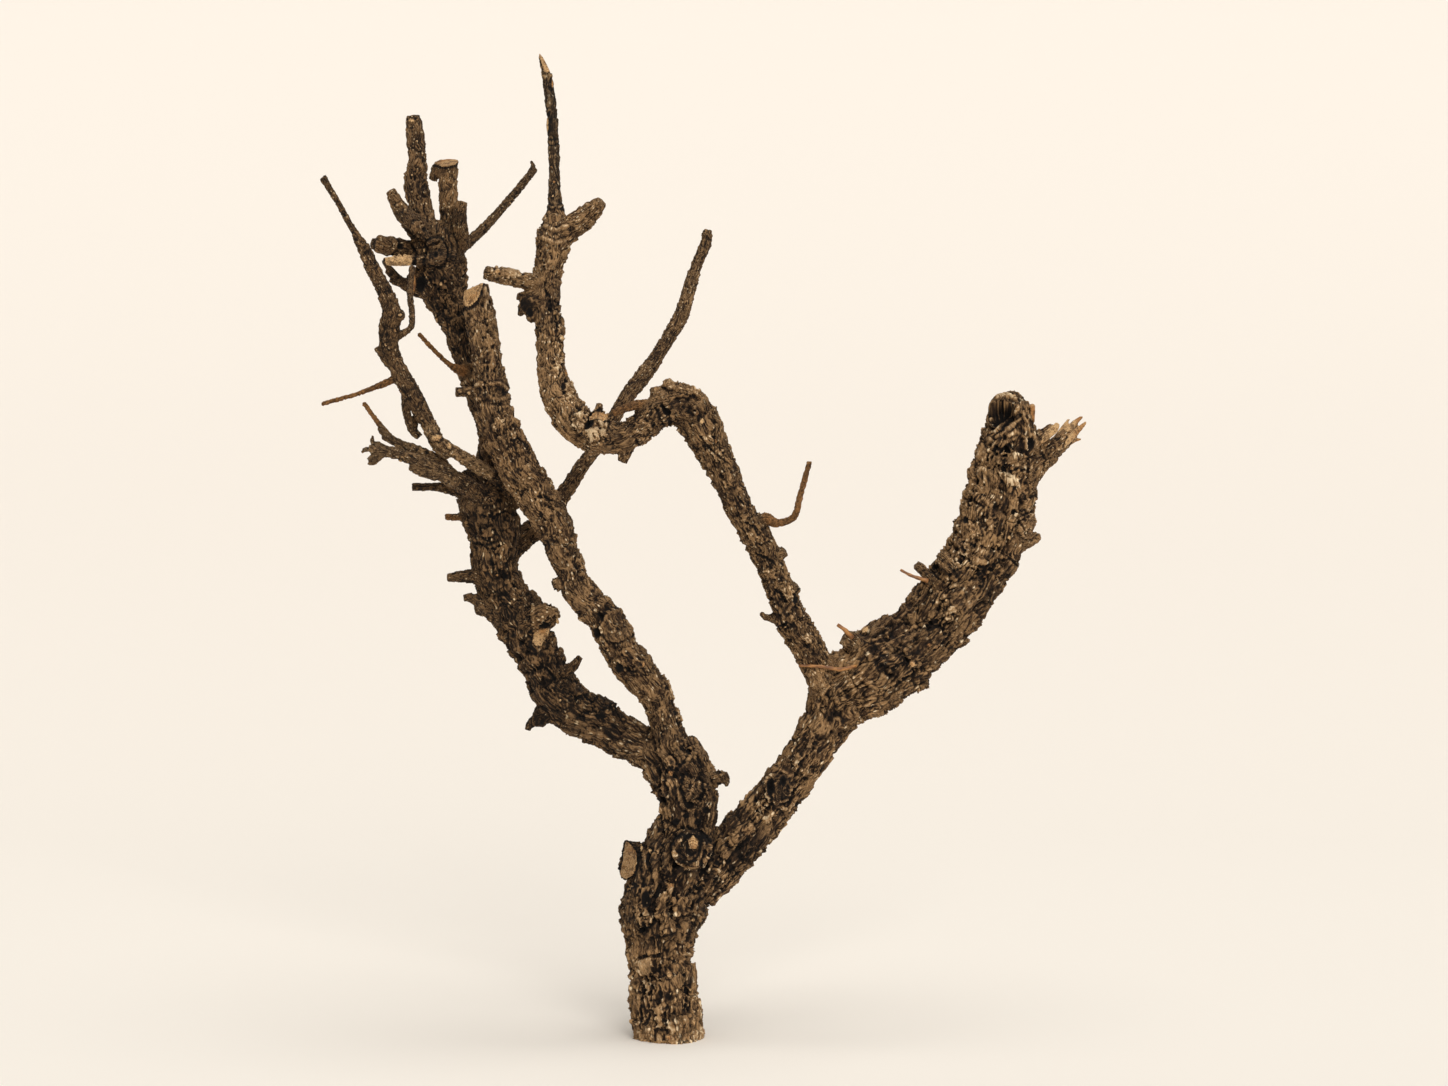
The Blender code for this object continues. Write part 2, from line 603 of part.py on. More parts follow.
def build():
    for old in list(bpy.context.scene.objects):
        bpy.data.objects.remove(old)

    dark = bark("dark_bark", (0.085, 0.056, 0.036), 0.85)
    brown = bark("brown_bark", (0.13, 0.09, 0.058), 0.82)
    grey = bark("grey_bark", (0.17, 0.13, 0.095), 0.8)

    trunk = Limb(TRUNK, THICK, 1)
    right = Limb(RIGHT_LIMB, THICK, 2, ARM_DEPTH)
    arch = Limb(ARCH, MIDDLE, 3)
    left = Limb(LEFT_LIMB, MIDDLE, 4, LEFT_DEPTH)
    mid = Limb(MID_STEM, MIDDLE, 5, MID_DEPTH)
    head = Limb(HEAD_STEM, MIDDLE, 6, HEAD_DEPTH)
    left_prong = Limb(LEFT_PRONG, THIN, 7)
    right_prong = Limb(RIGHT_PRONG, THIN, 8)
    head_twig = Limb(HEAD_TWIG, THIN, 9)
    diagonal = Limb(DIAGONAL_TWIG, THIN, 10)
    lower = Limb(LOWER_BRANCH, THIN, 11)
    upper = Limb(UPPER_BRANCH, THIN, 12)
    left_twig = Limb(LEFT_TWIG, THIN, 13)

    # Where one node ends and the next begins, each past its fork
    right_root = right.at(RIGHT_LIMB[3])
    arm_root = right.at(RIGHT_LIMB[9])
    arch_root = arch.at(ARCH[2])
    saddle = arch.at(ARCH[17])
    burl = arch.at(ARCH[30])
    left_root = left.at(LEFT_LIMB[2])
    mid_root = mid.at(MID_STEM[2])
    head_root = head.at(HEAD_STEM[3])
    left_prong_root = left_prong.at(LEFT_PRONG[2])
    right_prong_root = right_prong.at(RIGHT_PRONG[2])
    head_twig_root = head_twig.at(HEAD_TWIG[1])
    diagonal_root = diagonal.at(DIAGONAL_TWIG[3])
    lower_root = lower.at(LOWER_BRANCH[3])
    upper_root = upper.at(UPPER_BRANCH[2])
    left_twig_root = left_twig.at(LEFT_TWIG[2])

    forks = [right.solid(last=right_root), left.solid(last=left_root), mid.solid(last=mid_root)]
    foot = node("trunk", trunk.solid(), forks, brown)
    for count, stations in enumerate(RIDGES):
        combine(foot, Limb(stations, RIDGE, 61 + count).solid(), "UNION")
    for corners in PLATES:
        combine(foot, bark_plate(corners), "UNION")
    flatten_foot(foot)
    node("right_limb", right.solid(right_root, arm_root), [arch.solid(last=arch_root)], brown)
    arm = node("right_arm", right.solid(arm_root, tip="broken"), [], brown)
    combine(arm, rot_hollow(), "DIFFERENCE")
    node("arch_limb", arch.solid(arch_root, saddle), [], brown)
    node("arch_rise", arch.solid(saddle, burl), [], brown)
    node("top_twig", arch.solid(burl, tip="broken"), [], grey)

    forks = [
        head.solid(last=head_root),
        diagonal.solid(last=diagonal_root),
        lower.solid(last=lower_root),
        upper.solid(last=upper_root),
    ]
    node("left_limb", left.solid(left_root), forks, dark)
    stem = node("mid_stem", mid.solid(mid_root), [], brown)
    slice_top(stem, SLANT_PLACE, SLANT_NORMAL)
    forks = [
        left_prong.solid(last=left_prong_root),
        right_prong.solid(last=right_prong_root),
        head_twig.solid(last=head_twig_root),
    ]
    node("head_stem", head.solid(head_root), forks, dark)
    node("left_prong", left_prong.solid(left_prong_root, tip="broken"), [], dark)
    node("right_prong", right_prong.solid(right_prong_root, tip="broken"), [], dark)
    node("head_twig", head_twig.solid(head_twig_root, tip="broken"), [], dark)
    node("diagonal_twig", diagonal.solid(diagonal_root, tip="broken"), [], brown)
    node("lower_branch", lower.solid(lower_root, tip="broken"), [], grey)
    node("upper_branch", upper.solid(upper_root, tip="broken"), [left_twig.solid(last=left_twig_root)], grey)
    node("left_twig", left_twig.solid(left_twig_root, tip="broken"), [], dark)

    for thing in bpy.context.scene.objects:
        thing.data.shade_smooth()
        thing.data.set_sharp_from_angle(angle=math.radians(50))


build()
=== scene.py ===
"""The looks of a dry driftwood branch that stands on its sawn foot.

The limbs, spurs and twigs follow the same middle lines as the solids. They are grown into one skin of
wood, its bark is raised by a Geometry Nodes tree that follows each limb, and the skin is then parted into
one piece for each solid. Places here are in millimetres until the skin is a mesh.
"""

import math

import bmesh
import bpy
import numpy as np
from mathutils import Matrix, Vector


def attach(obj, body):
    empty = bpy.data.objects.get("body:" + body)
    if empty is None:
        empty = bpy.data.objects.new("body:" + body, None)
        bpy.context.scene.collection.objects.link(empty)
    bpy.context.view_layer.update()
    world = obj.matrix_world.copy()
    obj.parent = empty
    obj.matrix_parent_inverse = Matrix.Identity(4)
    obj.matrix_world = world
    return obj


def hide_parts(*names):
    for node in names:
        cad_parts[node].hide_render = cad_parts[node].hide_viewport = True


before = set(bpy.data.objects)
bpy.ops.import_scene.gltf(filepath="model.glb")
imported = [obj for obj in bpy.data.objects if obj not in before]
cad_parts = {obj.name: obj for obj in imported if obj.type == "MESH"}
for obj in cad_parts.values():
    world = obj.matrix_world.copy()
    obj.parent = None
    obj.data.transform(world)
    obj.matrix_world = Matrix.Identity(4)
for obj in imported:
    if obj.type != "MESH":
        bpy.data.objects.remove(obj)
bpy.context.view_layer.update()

MM = 0.001
VIEW_DISTANCE = 900.0
VIEW_ACROSS = 20.6
VIEW_UP = 178.7

# The photograph's frame at the branch is this wide
VIEW_WIDTH = 523.8
SENSOR = 36.0

# Lumps of the limbs, as a share of their radius, the same as in the solids
FLUTE = 0.05
LEDGE = 0.07

# Fineness of the skin, and how far round a limb its bark is looked for
SKIN = 0.5
REACH = 5.0

# A fork's bark blends from one limb into the next over this distance
FORK_BLEND = 2.2

# Bark plates are this large on a limb of PLATE_RADIUS, and smaller on a thinner one
PLATE_RADIUS = 11.0
PLATE_POWER = 0.62

# How far the bark stands out on such a limb, and how much of the foot is flat
BARK_DEPTH = 1.1
FOOT_BAND = 0.5

# A cut's dark rim, the hollow's rot and painted shade, how bare and calm torn wood is, how pale the foot is
RIM_SHADE = 0.9
ROT_AND_PAINTED_SHADE = 1.3
TORN_BARE = 0.8
TORN_CALM = 0.6
FOOT_LIGHT = 0.35
WOOD_ROUGHNESS = 0.6

TRUNK = [
    (0.4, 0, 0, 12.7), (0.2, 7.4, 0, 12.6), (-0.9, 13.6, 0, 12.3), (-1.1, 20.8, 0, 11.8), (-2.2, 28, 0, 11.2),
    (-2.3, 35.2, 0, 12.4), (-1.8, 42.4, 0, 14.8), (-0.6, 49.6, 0, 15.4), (0.8, 56.8, 0, 14.4),
    (2.2, 64, 0, 13.2), (5, 72, 0, 11.6), (7.6, 80, -1, 10.3), (7, 87.4, -1, 11), (5.8, 93, -1, 11.6),
    (2.6, 100, 0, 11.6), (0.6, 106, 0, 9.6),
]

RIGHT_LIMB = [
    (10, 53, 0, 8.6), (17, 61, 0, 9.4), (23.8, 68.7, 1, 9.4), (32.8, 78.7, 2, 9), (40, 87.6, 3, 8.3),
    (44.3, 93.5, 3, 8.4), (51.1, 102.9, 4, 8.1), (57.5, 113.5, 5, 9.2), (64.1, 123.3, 6, 12.2),
    (71.8, 129.7, 7, 14.2), (80.3, 136.6, 8, 14.9), (92.2, 144.9, 10, 12.6), (99.4, 153.2, 11, 13.2),
    (108.1, 165.4, 12, 12.8), (115, 176.8, 13, 13.2), (119.4, 192, 13, 13), (121.4, 203.2, 12, 12.2),
    (123.6, 215.6, 10, 10.2), (124, 223.4, 8, 8.6), (122.8, 229.6, 7, 6.4), (122, 232.4, 6, 3.4),
]

ARCH = [
    (60.5, 118.5, 5, 6.6), (57.2, 128.3, 3, 6.5), (53.3, 136.3, 0, 5.9), (49.4, 143.5, -3, 5.9),
    (45, 150.7, -6, 6.1), (42.3, 157.9, -9, 5.2), (36.7, 172.3, -14, 5.1), (31.7, 182.4, -18, 5.4),
    (27, 189.6, -20, 5.1), (21.6, 202.1, -23, 5.4), (16.6, 212.2, -25, 6.3), (12.4, 220.6, -27, 7.4),
    (8.3, 226.8, -28, 7.8), (2.9, 228.6, -29, 7.8), (-3.2, 225.9, -30, 6.1), (-7.9, 221.9, -30, 5.6),
    (-14, 217.4, -30, 5.2), (-20.5, 216.6, -30, 6.1), (-26.2, 218.5, -29, 7.2), (-32, 221.2, -28, 7.1),
    (-36, 225.9, -26, 6.5), (-39.2, 232, -24, 6.1), (-41.4, 239.2, -22, 5.4), (-42.1, 248.2, -20, 4.9),
    (-42.5, 257.2, -18, 5), (-43.6, 266.2, -16, 5), (-43.2, 276.3, -15, 5.1), (-42.1, 281.9, -15, 5.7),
    (-41, 288.1, -14, 6.4), (-40.7, 293.7, -13, 4.7), (-40.3, 298.2, -12, 3.3), (-40.7, 306.1, -10, 2.2),
    (-41, 320.5, -7, 2), (-41.8, 334.9, -4, 2), (-42.8, 342.1, -2, 1.9), (-43.6, 348.6, -1, 1.8),
    (-45, 355.2, 0, 0.8),
]

LEFT_LIMB = [
    (2, 99.5, 1, 7.6), (-7.9, 104.6, 2, 7.4), (-16.9, 109.2, 3, 7.5), (-25.9, 114.4, 5, 8.2),
    (-33.8, 118.3, 7, 8.4), (-41, 126.2, 8, 8.4), (-45, 134.5, 9, 7.7), (-49.3, 143.5, 9, 8.8),
    (-52.9, 151.4, 9, 9.7), (-57.8, 158.2, 9, 8.6), (-61, 165.3, 9, 8.3), (-62.3, 172.3, 8, 8.6),
    (-61.9, 179.5, 8, 9.3), (-63.7, 186.7, 8, 9.8), (-66, 193.9, 8, 9.8), (-67.4, 200.2, 8, 7.8),
    (-68, 203.6, 8, 4.5),
]

HEAD_STEM = [
    (-63.5, 189.3, 9, 6.2), (-62.8, 197.3, 11, 6.2), (-63.2, 205.6, 13, 5.8), (-63.6, 219.4, 15, 4.8),
    (-68.8, 233.8, 16, 4.5), (-71.8, 243.9, 17, 4.6), (-74, 251.1, 17, 5), (-76.4, 259, 17, 5.7),
    (-79.8, 266.2, 17, 7.2), (-81.6, 273.4, 17, 8.8), (-82.6, 279.9, 17, 9.3), (-82.8, 285.9, 17, 9),
    (-82.8, 291.4, 17, 7.2), (-82.6, 294.9, 17, 4),
]

LEFT_PRONG = [
    (-86.2, 283.9, 18, 4.6), (-87.4, 292.9, 19, 4.6), (-88.9, 300.7, 20, 4.1), (-90.4, 306.1, 21, 4.5),
    (-90.7, 311.5, 22, 4), (-90.1, 316.9, 22, 3.3), (-90.7, 322.3, 23, 3.3), (-91.4, 329.5, 24, 3.1),
    (-91.8, 333.3, 24, 2.4),
]

RIGHT_PRONG = [
    (-77.2, 284.4, 15, 4.4), (-77.6, 292.9, 14, 4), (-78.8, 300.7, 13, 3.5), (-79.2, 306.1, 12, 3.4),
    (-79.1, 311.9, 12, 3.5), (-79.2, 317.5, 11, 3.6),
]

HEAD_TWIG = [
    (-75.6, 283.9, 19, 2), (-69.1, 289.9, 22, 1.9), (-63.7, 295.3, 26, 1.7), (-58.3, 301.4, 30, 1.6),
    (-52.9, 307.9, 34, 1.5), (-47.9, 314, 38, 1.4),
]

MID_STEM = [
    (2.6, 99, -2, 6.8), (0.9, 108, -3, 6.4), (-1.8, 117.5, -5, 5.3), (-5.4, 125.5, -7, 6.1),
    (-10.8, 132.2, -9, 6.9), (-16.2, 139.2, -10, 6.4), (-19.6, 146.4, -11, 6.8), (-22.8, 151.8, -12, 6.4),
    (-27.7, 156.5, -12, 6.1), (-32.2, 162.1, -12, 5.9), (-34.9, 169.1, -12, 5.2), (-37.8, 176.1, -12, 5.8),
    (-40.3, 183.1, -12, 6.4), (-43.6, 189.6, -12, 6.9), (-48.6, 197.5, -12, 7.3), (-53.6, 205.6, -12, 7.5),
    (-58, 214, -12, 7.5), (-61, 221.4, -12, 7), (-63, 228.4, -11, 6.4), (-63.6, 234.5, -10, 6.2),
    (-64.5, 241, -9, 5.4), (-65.9, 250, -8, 5.4), (-67.3, 259, -6, 5.5), (-68.5, 266.2, -5, 5),
    (-69.4, 271.1, -4, 4.6),
]

DIAGONAL_TWIG = [
    (-60.5, 173.8, 9, 4.8), (-53.6, 179.7, 11, 4.4), (-48.2, 183.8, 12, 4.1), (-42.8, 189.6, 13, 3.5),
    (-37.8, 195.7, 14, 3), (-31.3, 205.7, 15, 2.6), (-27, 211.5, 16, 2.4), (-19.8, 223, 18, 2.5),
    (-16.4, 228.6, 19, 2.6), (-12.6, 234.2, 21, 2.9), (-8.6, 239, 23, 3.1), (-4.3, 245, 25, 2.7),
    (0.4, 252.5, 27, 2.5), (4.5, 259.7, 29, 2.8), (6.8, 266.2, 31, 2.5), (9, 274.1, 33, 2.4),
    (11.2, 280.5, 35, 2), (14, 287, 37, 2.1), (14.4, 291.9, 38, 1.7),
]

LOWER_BRANCH = [
    (-62, 192.9, 5, 3.6), (-66.2, 195.7, 0, 3.5), (-70.9, 198.2, -4, 3.5), (-76.3, 201.4, -9, 3.4),
    (-81.7, 204.3, -14, 3.2), (-88.9, 207.7, -20, 2.6), (-94.3, 209.9, -24, 2.2), (-99.7, 211.5, -28, 2.1),
    (-103.4, 211.9, -31, 2.2), (-107, 212.2, -34, 1.4),
]

UPPER_BRANCH = [
    (-55, 191.8, 6, 2.6), (-57, 197.7, 1, 2.5), (-63.7, 203.4, -5, 2.5), (-70.9, 207.9, -11, 2.5),
    (-77.8, 212.2, -16, 2.3), (-80.2, 213.8, -17, 2.5), (-83.4, 216.2, -19, 2.1), (-86.6, 219, -22, 1.6),
]

LEFT_TWIG = [
    (-78.4, 210.4, -14, 2.4), (-82.8, 214.8, -15, 2.8), (-86, 221.2, -15, 2.9), (-88.9, 226.6, -14, 3.2),
    (-91.8, 232, -14, 3.5), (-95.4, 238.4, -14, 3.2), (-98.6, 244.6, -14, 3.2), (-100.4, 250, -15, 3.5),
    (-100.4, 256.1, -15, 3.8), (-99.7, 262.6, -16, 3.5), (-101.5, 268.2, -17, 3.1), (-104, 273.4, -18, 2.8),
    (-106.9, 278.8, -20, 2.7), (-109.4, 284.5, -22, 2.4), (-112, 289.1, -24, 1.7), (-114, 292.7, -25, 1.3),
    (-119.5, 302.5, -28, 1.2), (-122.2, 307, -29, 1.2), (-125.2, 310.7, -30, 0.9),
]

SPURS = {
    "trunk": [
        [(-2, 62.5, -2, 7), (-11, 63.6, -3, 6.9), (-15.6, 64.2, -4, 6.7)],
        [(7.5, 67, -4, 6.6), (8.2, 69, -12, 7), (8.6, 70, -16.5, 6)],
        [(7, 86, -4, 6.5), (10, 89, -9, 6.2), (11, 90, -12, 4.6)],
        [(12, 91, -4, 3.4), (17.5, 93.6, -6, 2.6), (20.4, 95.6, -7, 1.4)],
        [(-6, 44, 0, 7), (-11.5, 46, -2, 6.5), (-14.6, 49, -3, 4)],
    ],
    "right_limb": [
        [(38, 87, 0, 5.4), (39.6, 89.6, -4.5, 5.4), (40, 90.2, -7, 4.6)],
    ],
    "right_arm": [
        [(126, 195.3, 10, 5), (132.5, 206, 10, 4.6), (139.7, 212.6, 12, 3.7), (144.6, 217.2, 13, 3),
         (148.6, 221, 13, 1.8)],
        [(122, 183.3, 10, 7), (127.6, 186.3, 8, 6.4), (131, 188.7, 6, 3.6)],
        [(126, 178.3, 12, 4), (132.4, 180.3, 11, 2.4), (135, 180.9, 11, 1.2)],
        [(98, 163.3, 6, 2.6), (92.4, 168.9, 3, 1.9), (90, 170.7, 2, 1.7)],
        [(104, 167.3, 4, 3.2), (100.4, 172.7, 0, 2.4), (98.6, 174.9, -1, 1.8)],
        [(87, 134.3, 8, 5), (91.6, 127.9, 8, 3.6), (92.8, 125.5, 8, 2)],
        [(74, 138.5, 3, 4.6), (67.6, 142.9, 1, 3.6), (64, 144.6, 0, 2.6)],
        [(128, 211.6, 9, 4), (136, 217.6, 9, 2.6), (139.8, 221.2, 9, 1.3)],
    ],
    "arch_limb": [
        [(30, 183.3, -18, 3.2), (35.6, 187.4, -20, 2.4), (39.4, 185.8, -22, 1.6), (45.8, 188, -26, 1.3),
         (48, 195.3, -30, 1.2), (51.6, 208.2, -35, 1)],
        [(40, 151.3, -7, 2.4), (36, 151.7, -8, 1.2)],
        [(39, 173.3, -15, 3), (42.6, 175.9, -16, 2)],
        [(43.6, 160.3, -9, 3), (47.2, 163.3, -10, 2)],
        [(1.2, 230.2, -30, 3.6), (0.4, 236, -31, 2.6), (0.2, 238, -31, 1.4)],
        [(9.4, 228.6, -28, 3.2), (9.6, 234.2, -29, 2)],
        [(-3.4, 227.6, -30, 3), (-4.6, 235.2, -31, 1.8)],
        [(-4, 228.4, -31, 2.6), (-11, 228.6, -33, 1.8), (-17.4, 226.6, -34, 1.6), (-19.6, 225.6, -34, 1.3)],
        [(-14, 215.6, -30, 3.4), (-16.4, 208, -30, 1.8)],
    ],
    "arch_rise": [
        [(-43.4, 272.6, -15, 3.8), (-47.5, 273, -17, 3.2), (-56.5, 274.4, -21, 2.9),
         (-65.9, 276.6, -25, 2.6)],
        [(-40, 289.1, -14, 5), (-33.6, 293.3, -16, 4.6), (-27.7, 298.2, -18, 3.8), (-23.6, 302.3, -20, 2.2)],
        [(-45, 266.6, -16, 4.6), (-49.6, 265.6, -17, 4.4), (-51.8, 264.6, -17, 2.6)],
        [(-25.4, 223.6, -28, 2.2), (-24.4, 229.2, -28, 1.2)],
        [(-27.4, 219.2, -32, 4.6), (-27.4, 220.2, -37.5, 4)],
        [(-27, 216.2, -28, 3.6), (-27.4, 210.6, -28, 2.2)],
    ],
    "left_limb": [
        [(-41.6, 119.3, 8, 5), (-45.6, 115.4, 8, 3.8), (-46.6, 112.6, 8, 2)],
        [(-50, 151.3, 4, 5.6), (-43.6, 152.3, 1, 4.6), (-40.4, 152.9, 0, 2.6)],
        [(-64, 165.7, 6, 3.6), (-71, 166.7, 3, 2.6), (-79.6, 166.2, 1, 1.5)],
        [(-68, 188.1, 6, 2), (-75, 188.1, 4, 1.4), (-80.4, 188.1, 3, 1.2)],
        [(-64, 156.3, 8, 5), (-69.4, 155.9, 8, 3.4)],
        [(-70, 197.3, 5, 4), (-77, 198.4, 1, 2.8), (-84, 199, -3, 1.6), (-92.2, 198.9, -6, 1.4)],
        [(-70, 192, 6, 5), (-75, 191.6, 5, 3.4)],
        [(-68, 199.6, 4, 3.2), (-73, 203, -3, 3)],
    ],
    "mid_stem": [
        [(-63, 233.6, -10, 2.8), (-69, 233.4, -12, 2), (-76.3, 233.4, -14, 1.9)],
        [(-39, 185.3, -12, 3.6), (-34.6, 186.7, -13, 2.2)],
        [(-12, 137.3, -9, 3), (-8.2, 140.7, -9, 1.8)],
        [(-36, 165.3, -12, 3.4), (-41.6, 163.3, -13, 1.8)],
        [(-21, 147.3, -11, 3.6), (-26.6, 144.9, -12, 1.8)],
        [(-60, 235.2, -10, 3), (-57.4, 236.2, -10, 1.8)],
    ],
    "head_stem": [
        [(-73, 240.6, 14, 2.4), (-76.3, 241.8, 8, 1.6), (-79.4, 243.8, 5, 1), (-85.4, 249.6, 1, 0.9),
         (-90, 254.6, -2, 0.9)],
        [(-87.6, 288.5, 14, 4.4), (-89.6, 291.7, 11, 4.2), (-96.1, 298.9, 7, 3), (-100.1, 306.1, 4, 1.9)],
        [(-89, 284.3, 17, 3.6), (-95, 285.3, 14, 3.4), (-101.5, 286.3, 12, 3.4), (-106.9, 287, 10, 2)],
        [(-79, 281.9, 10, 3.6), (-83, 281.7, 6, 2.9), (-87.1, 280.9, 4, 2.2), (-93.2, 280.9, 2, 1.9),
         (-102.6, 280.5, 0, 1.6)],
        [(-88, 269.6, 16, 3), (-92.5, 270.5, 14, 2.2), (-97.9, 274.5, 12, 1.8), (-101.2, 277.7, 11, 1.5)],
        [(-74.6, 285.9, 14, 3.4), (-75, 297.1, 7, 2.6), (-74.4, 302.3, 6, 2.3)],
    ],
    "right_prong": [
        [(-79.6, 316, 12, 2.8), (-83, 314.9, 13, 2), (-84.8, 309.8, 14, 1.6)],
    ],
    "lower_branch": [
        [(-78.6, 203.4, -11, 2.8), (-82.8, 208.2, -10, 2.5), (-88.9, 211.3, -14, 2.2),
         (-96.1, 214.2, -18, 1.9), (-102.6, 217.6, -22, 1.5)],
        [(-102, 211.8, -29, 2), (-108, 208.9, -35, 1)],
        [(-83, 203.6, -15, 2.8), (-90, 205, -20, 1.8), (-93.2, 206, -22, 1)],
        [(-101.6, 212, -29, 1.8), (-104.8, 215, -33, 0.9)],
        [(-99.6, 215.8, -20, 1.6), (-105.1, 223, -24, 1), (-109.8, 229.5, -28, 0.9)],
    ],
    "left_twig": [
        [(-94.6, 237.6, -13, 1.8), (-94.4, 227.2, -12, 1.6), (-92.4, 220.2, -11, 1.6),
         (-89.6, 217, -10, 1.5)],
        [(-92.4, 219.2, -11, 1.8), (-91.6, 222.2, -10, 1.9), (-91, 224.6, -9, 1.2)],
        [(-98, 238.2, -14, 1.6), (-110.5, 233.2, -19, 0.9), (-124.9, 228.9, -24, 0.9)],
        [(-100.4, 243.2, -14, 1.8), (-105.1, 249.4, -16, 1.1)],
        [(-99.4, 260.2, -16, 2.6), (-95.4, 261.6, -17, 2)],
        [(-100, 252.2, -15, 1.8), (-93.4, 256, -12, 1.2), (-92.2, 259.6, -11, 1.2),
         (-92.9, 269, -8, 1.2), (-92.2, 278.8, -5, 1.2)],
        [(-121.6, 306.1, -29, 1), (-124, 311.8, -31, 0.8)],
    ],
}

# Ribs and lips of the trunk's bark: the front knot's heart and its lips, the ribs between the knot and the
# pruned stub, a strip near the foot, and the ribs at the back
TRUNK_RIDGES = [
    [(9.2, 70.2, -15, 2.4), (9.4, 70.4, -17.6, 2)],
    [(11.6, 75.4, -14, 0.9), (14.6, 71.6, -15, 1.3), (14.2, 66.4, -15, 1.3), (11.2, 63, -14.6, 0.9)],
    [(3, 73, -12.6, 0.9), (2.2, 67.6, -13.8, 1.2), (4.8, 63.2, -14.4, 1)],
    [(-8.8, 67.5, -7.6, 0.9), (-8.4, 63, -9.8, 1.3), (-8.8, 56, -10.6, 1.2), (-9, 51.5, -11.6, 0.9)],
    [(-4.6, 70, -8.3, 0.9), (-4.4, 63, -11.9, 1.3), (-5, 54, -13.9, 1)],
    [(-1.2, 70, -10.9, 0.9), (-0.8, 62, -13.4, 1.2), (-1.6, 53.6, -14.8, 0.9)],
    [(-4.6, 13, -11.4, 0.8), (-3.2, 8, -12.2, 1.3), (-3.4, 2.4, -12.4, 1)],
    [(3, 62, 13.2, 1), (1.6, 50, 15.4, 1.6), (-1, 36, 12.6, 1.2), (-1.4, 26, 11.4, 0.8)],
    [(-8, 52, 12.6, 1), (-9, 42, 12.4, 1.5), (-7.6, 30, 9.6, 1)],
    [(10, 54, 11.4, 1), (8.4, 40, 9.8, 1.4), (6.4, 24, 8.6, 1)],
]

# Bark plates of the trunk's front, by their corners on the outer face, and how thick they are
PLATE_DEPTH = 3.0
TRUNK_PLATES = [
    [(-4.4, 49.5, -15.8), (-1, 52.2, -16), (1.2, 49, -16.4), (0.4, 44.6, -16.4), (-3.4, 44, -15.8)],
    [(2, 49.6, -16.2), (5.2, 51, -15.6), (8.8, 48.2, -13.4), (7.6, 44.2, -13.6), (2.2, 44, -15.8)],
    [(-1.8, 43.2, -16), (2.4, 43.2, -15.6), (3.4, 39.8, -14.6), (0.6, 37.4, -14.2), (-2, 39.6, -14.6)],
    [(-9.8, 27, -9.2), (-7.6, 28.9, -10.8), (-5.2, 27.4, -11.9), (-5, 22.6, -12), (-9, 22.4, -9.6)],
]

# Sawn or broken faces, by node: the place, the way that it faces, how far it reaches and how bare it is
SAWN = {
    "trunk": [
        ((-14.4, 62.6, -5.4), (-0.82, -0.56, 0.1), 9.5, 0.54),
        ((9, 67.4, -16.3), (0.05, -1, -0.05), 7.5, 0),
    ],
    "mid_stem": [((-70.6, 267.4, -8.6), (-0.6, -0.62, 0.5), 9, 1)],
    "arch_rise": [
        ((-27, 219.6, -36.6), (0.25, -0.9, 0.35), 5.4, 0.3),
        ((-24.4, 223.6, -31), (0.3, -0.6, 0.75), 3, 1),
    ],
    "right_prong": [((-79.4, 316, 10), (-0.1, -0.5, 0.86), 5.5, 0.56)],
    "top_twig": [((-44.4, 352.2, -0.4), (0.75, -0.5, 0.45), 4.4, 1)],
}

# The rotten hollow in the right arm's broken top: its middle, its half sizes, and the way into the wood
HOLLOW_PLACE = (121.2, 224.8, 1.2)
HOLLOW_SIZE = (5.6, 6.4, 5.2)
HOLLOW_WAY = (0.1, 0.75, -0.65)

# Splinters on torn ends, from inside the wood to the tip
SPLINTERS = {
    "right_arm": [
        [(142, 215, 12, 2), (147, 221.6, 12, 1.2), (150.4, 224.6, 12, 0.5)],
        [(143, 214, 11, 1.6), (149.2, 220, 10.6, 1), (151.6, 222.6, 10.4, 0.5)],
        [(140, 215, 13, 1.6), (143.4, 220.4, 13.4, 1), (145.4, 223.6, 13.6, 0.5)],
        [(141, 212, 12, 1.4), (147, 215.6, 13, 0.8), (150, 216.2, 13, 0.5)],
        [(131, 219, 6, 1.6), (131.8, 226, 5, 1.4), (132.2, 229, 5, 0.9)],
        [(127, 217, 4, 1.4), (129.6, 224, 3, 1.3), (128.6, 229.4, 3, 0.8)],
        [(134, 215, 8, 1.6), (139.6, 219.4, 7, 1.6), (141.4, 222, 7, 0.9)],
    ],
    "head_stem": [
        [(-95, 297.6, 7.6, 2.2), (-97.6, 302, 5.6, 2), (-99.8, 306.4, 4, 1.5)],
        [(-93.4, 280.9, 2, 2.1), (-98.6, 280.7, 0.6, 1.9), (-102.8, 280.6, 0, 1.5)],
    ],
    "left_limb": [
        [(-47, 150, 2, 1.6), (-43, 152.6, -1.6, 1.4), (-40.6, 152.6, -2, 1), (-39.4, 149.4, -1, 0.6)],
        [(-48, 148, 2, 1.4), (-45.6, 146.4, 0, 1), (-46.6, 143.4, 0, 0.5)],
        [(-46, 149, 2, 1.4), (-43.4, 147.4, 0, 1), (-43.6, 144.6, 0, 0.5)],
    ],
}

# Dry straws and shoots that lie on the bark, by node
STRAW_SIDES = 8
STRAWS = {
    "right_arm": [
        [(47.6, 134.4, -6.6, 0.5), (56, 134, -6.4, 0.6), (62.4, 133, -6, 0.75), (68.4, 134.2, -4, 0.6)],
        [(84.4, 169, -1, 0.45), (88.6, 166.8, -1, 0.6), (94.4, 165, -0.6, 0.8)],
        [(61.6, 149.2, -3, 0.6), (64.6, 147, -3, 0.8), (67, 144.4, -2, 0.9)],
    ],
    "head_stem": [
        [(-92.2, 279.2, 3, 0.4), (-91.4, 272, 4.6, 0.45), (-93, 265.6, 6, 0.4), (-92.8, 259.4, 8, 0.35)],
    ],
}

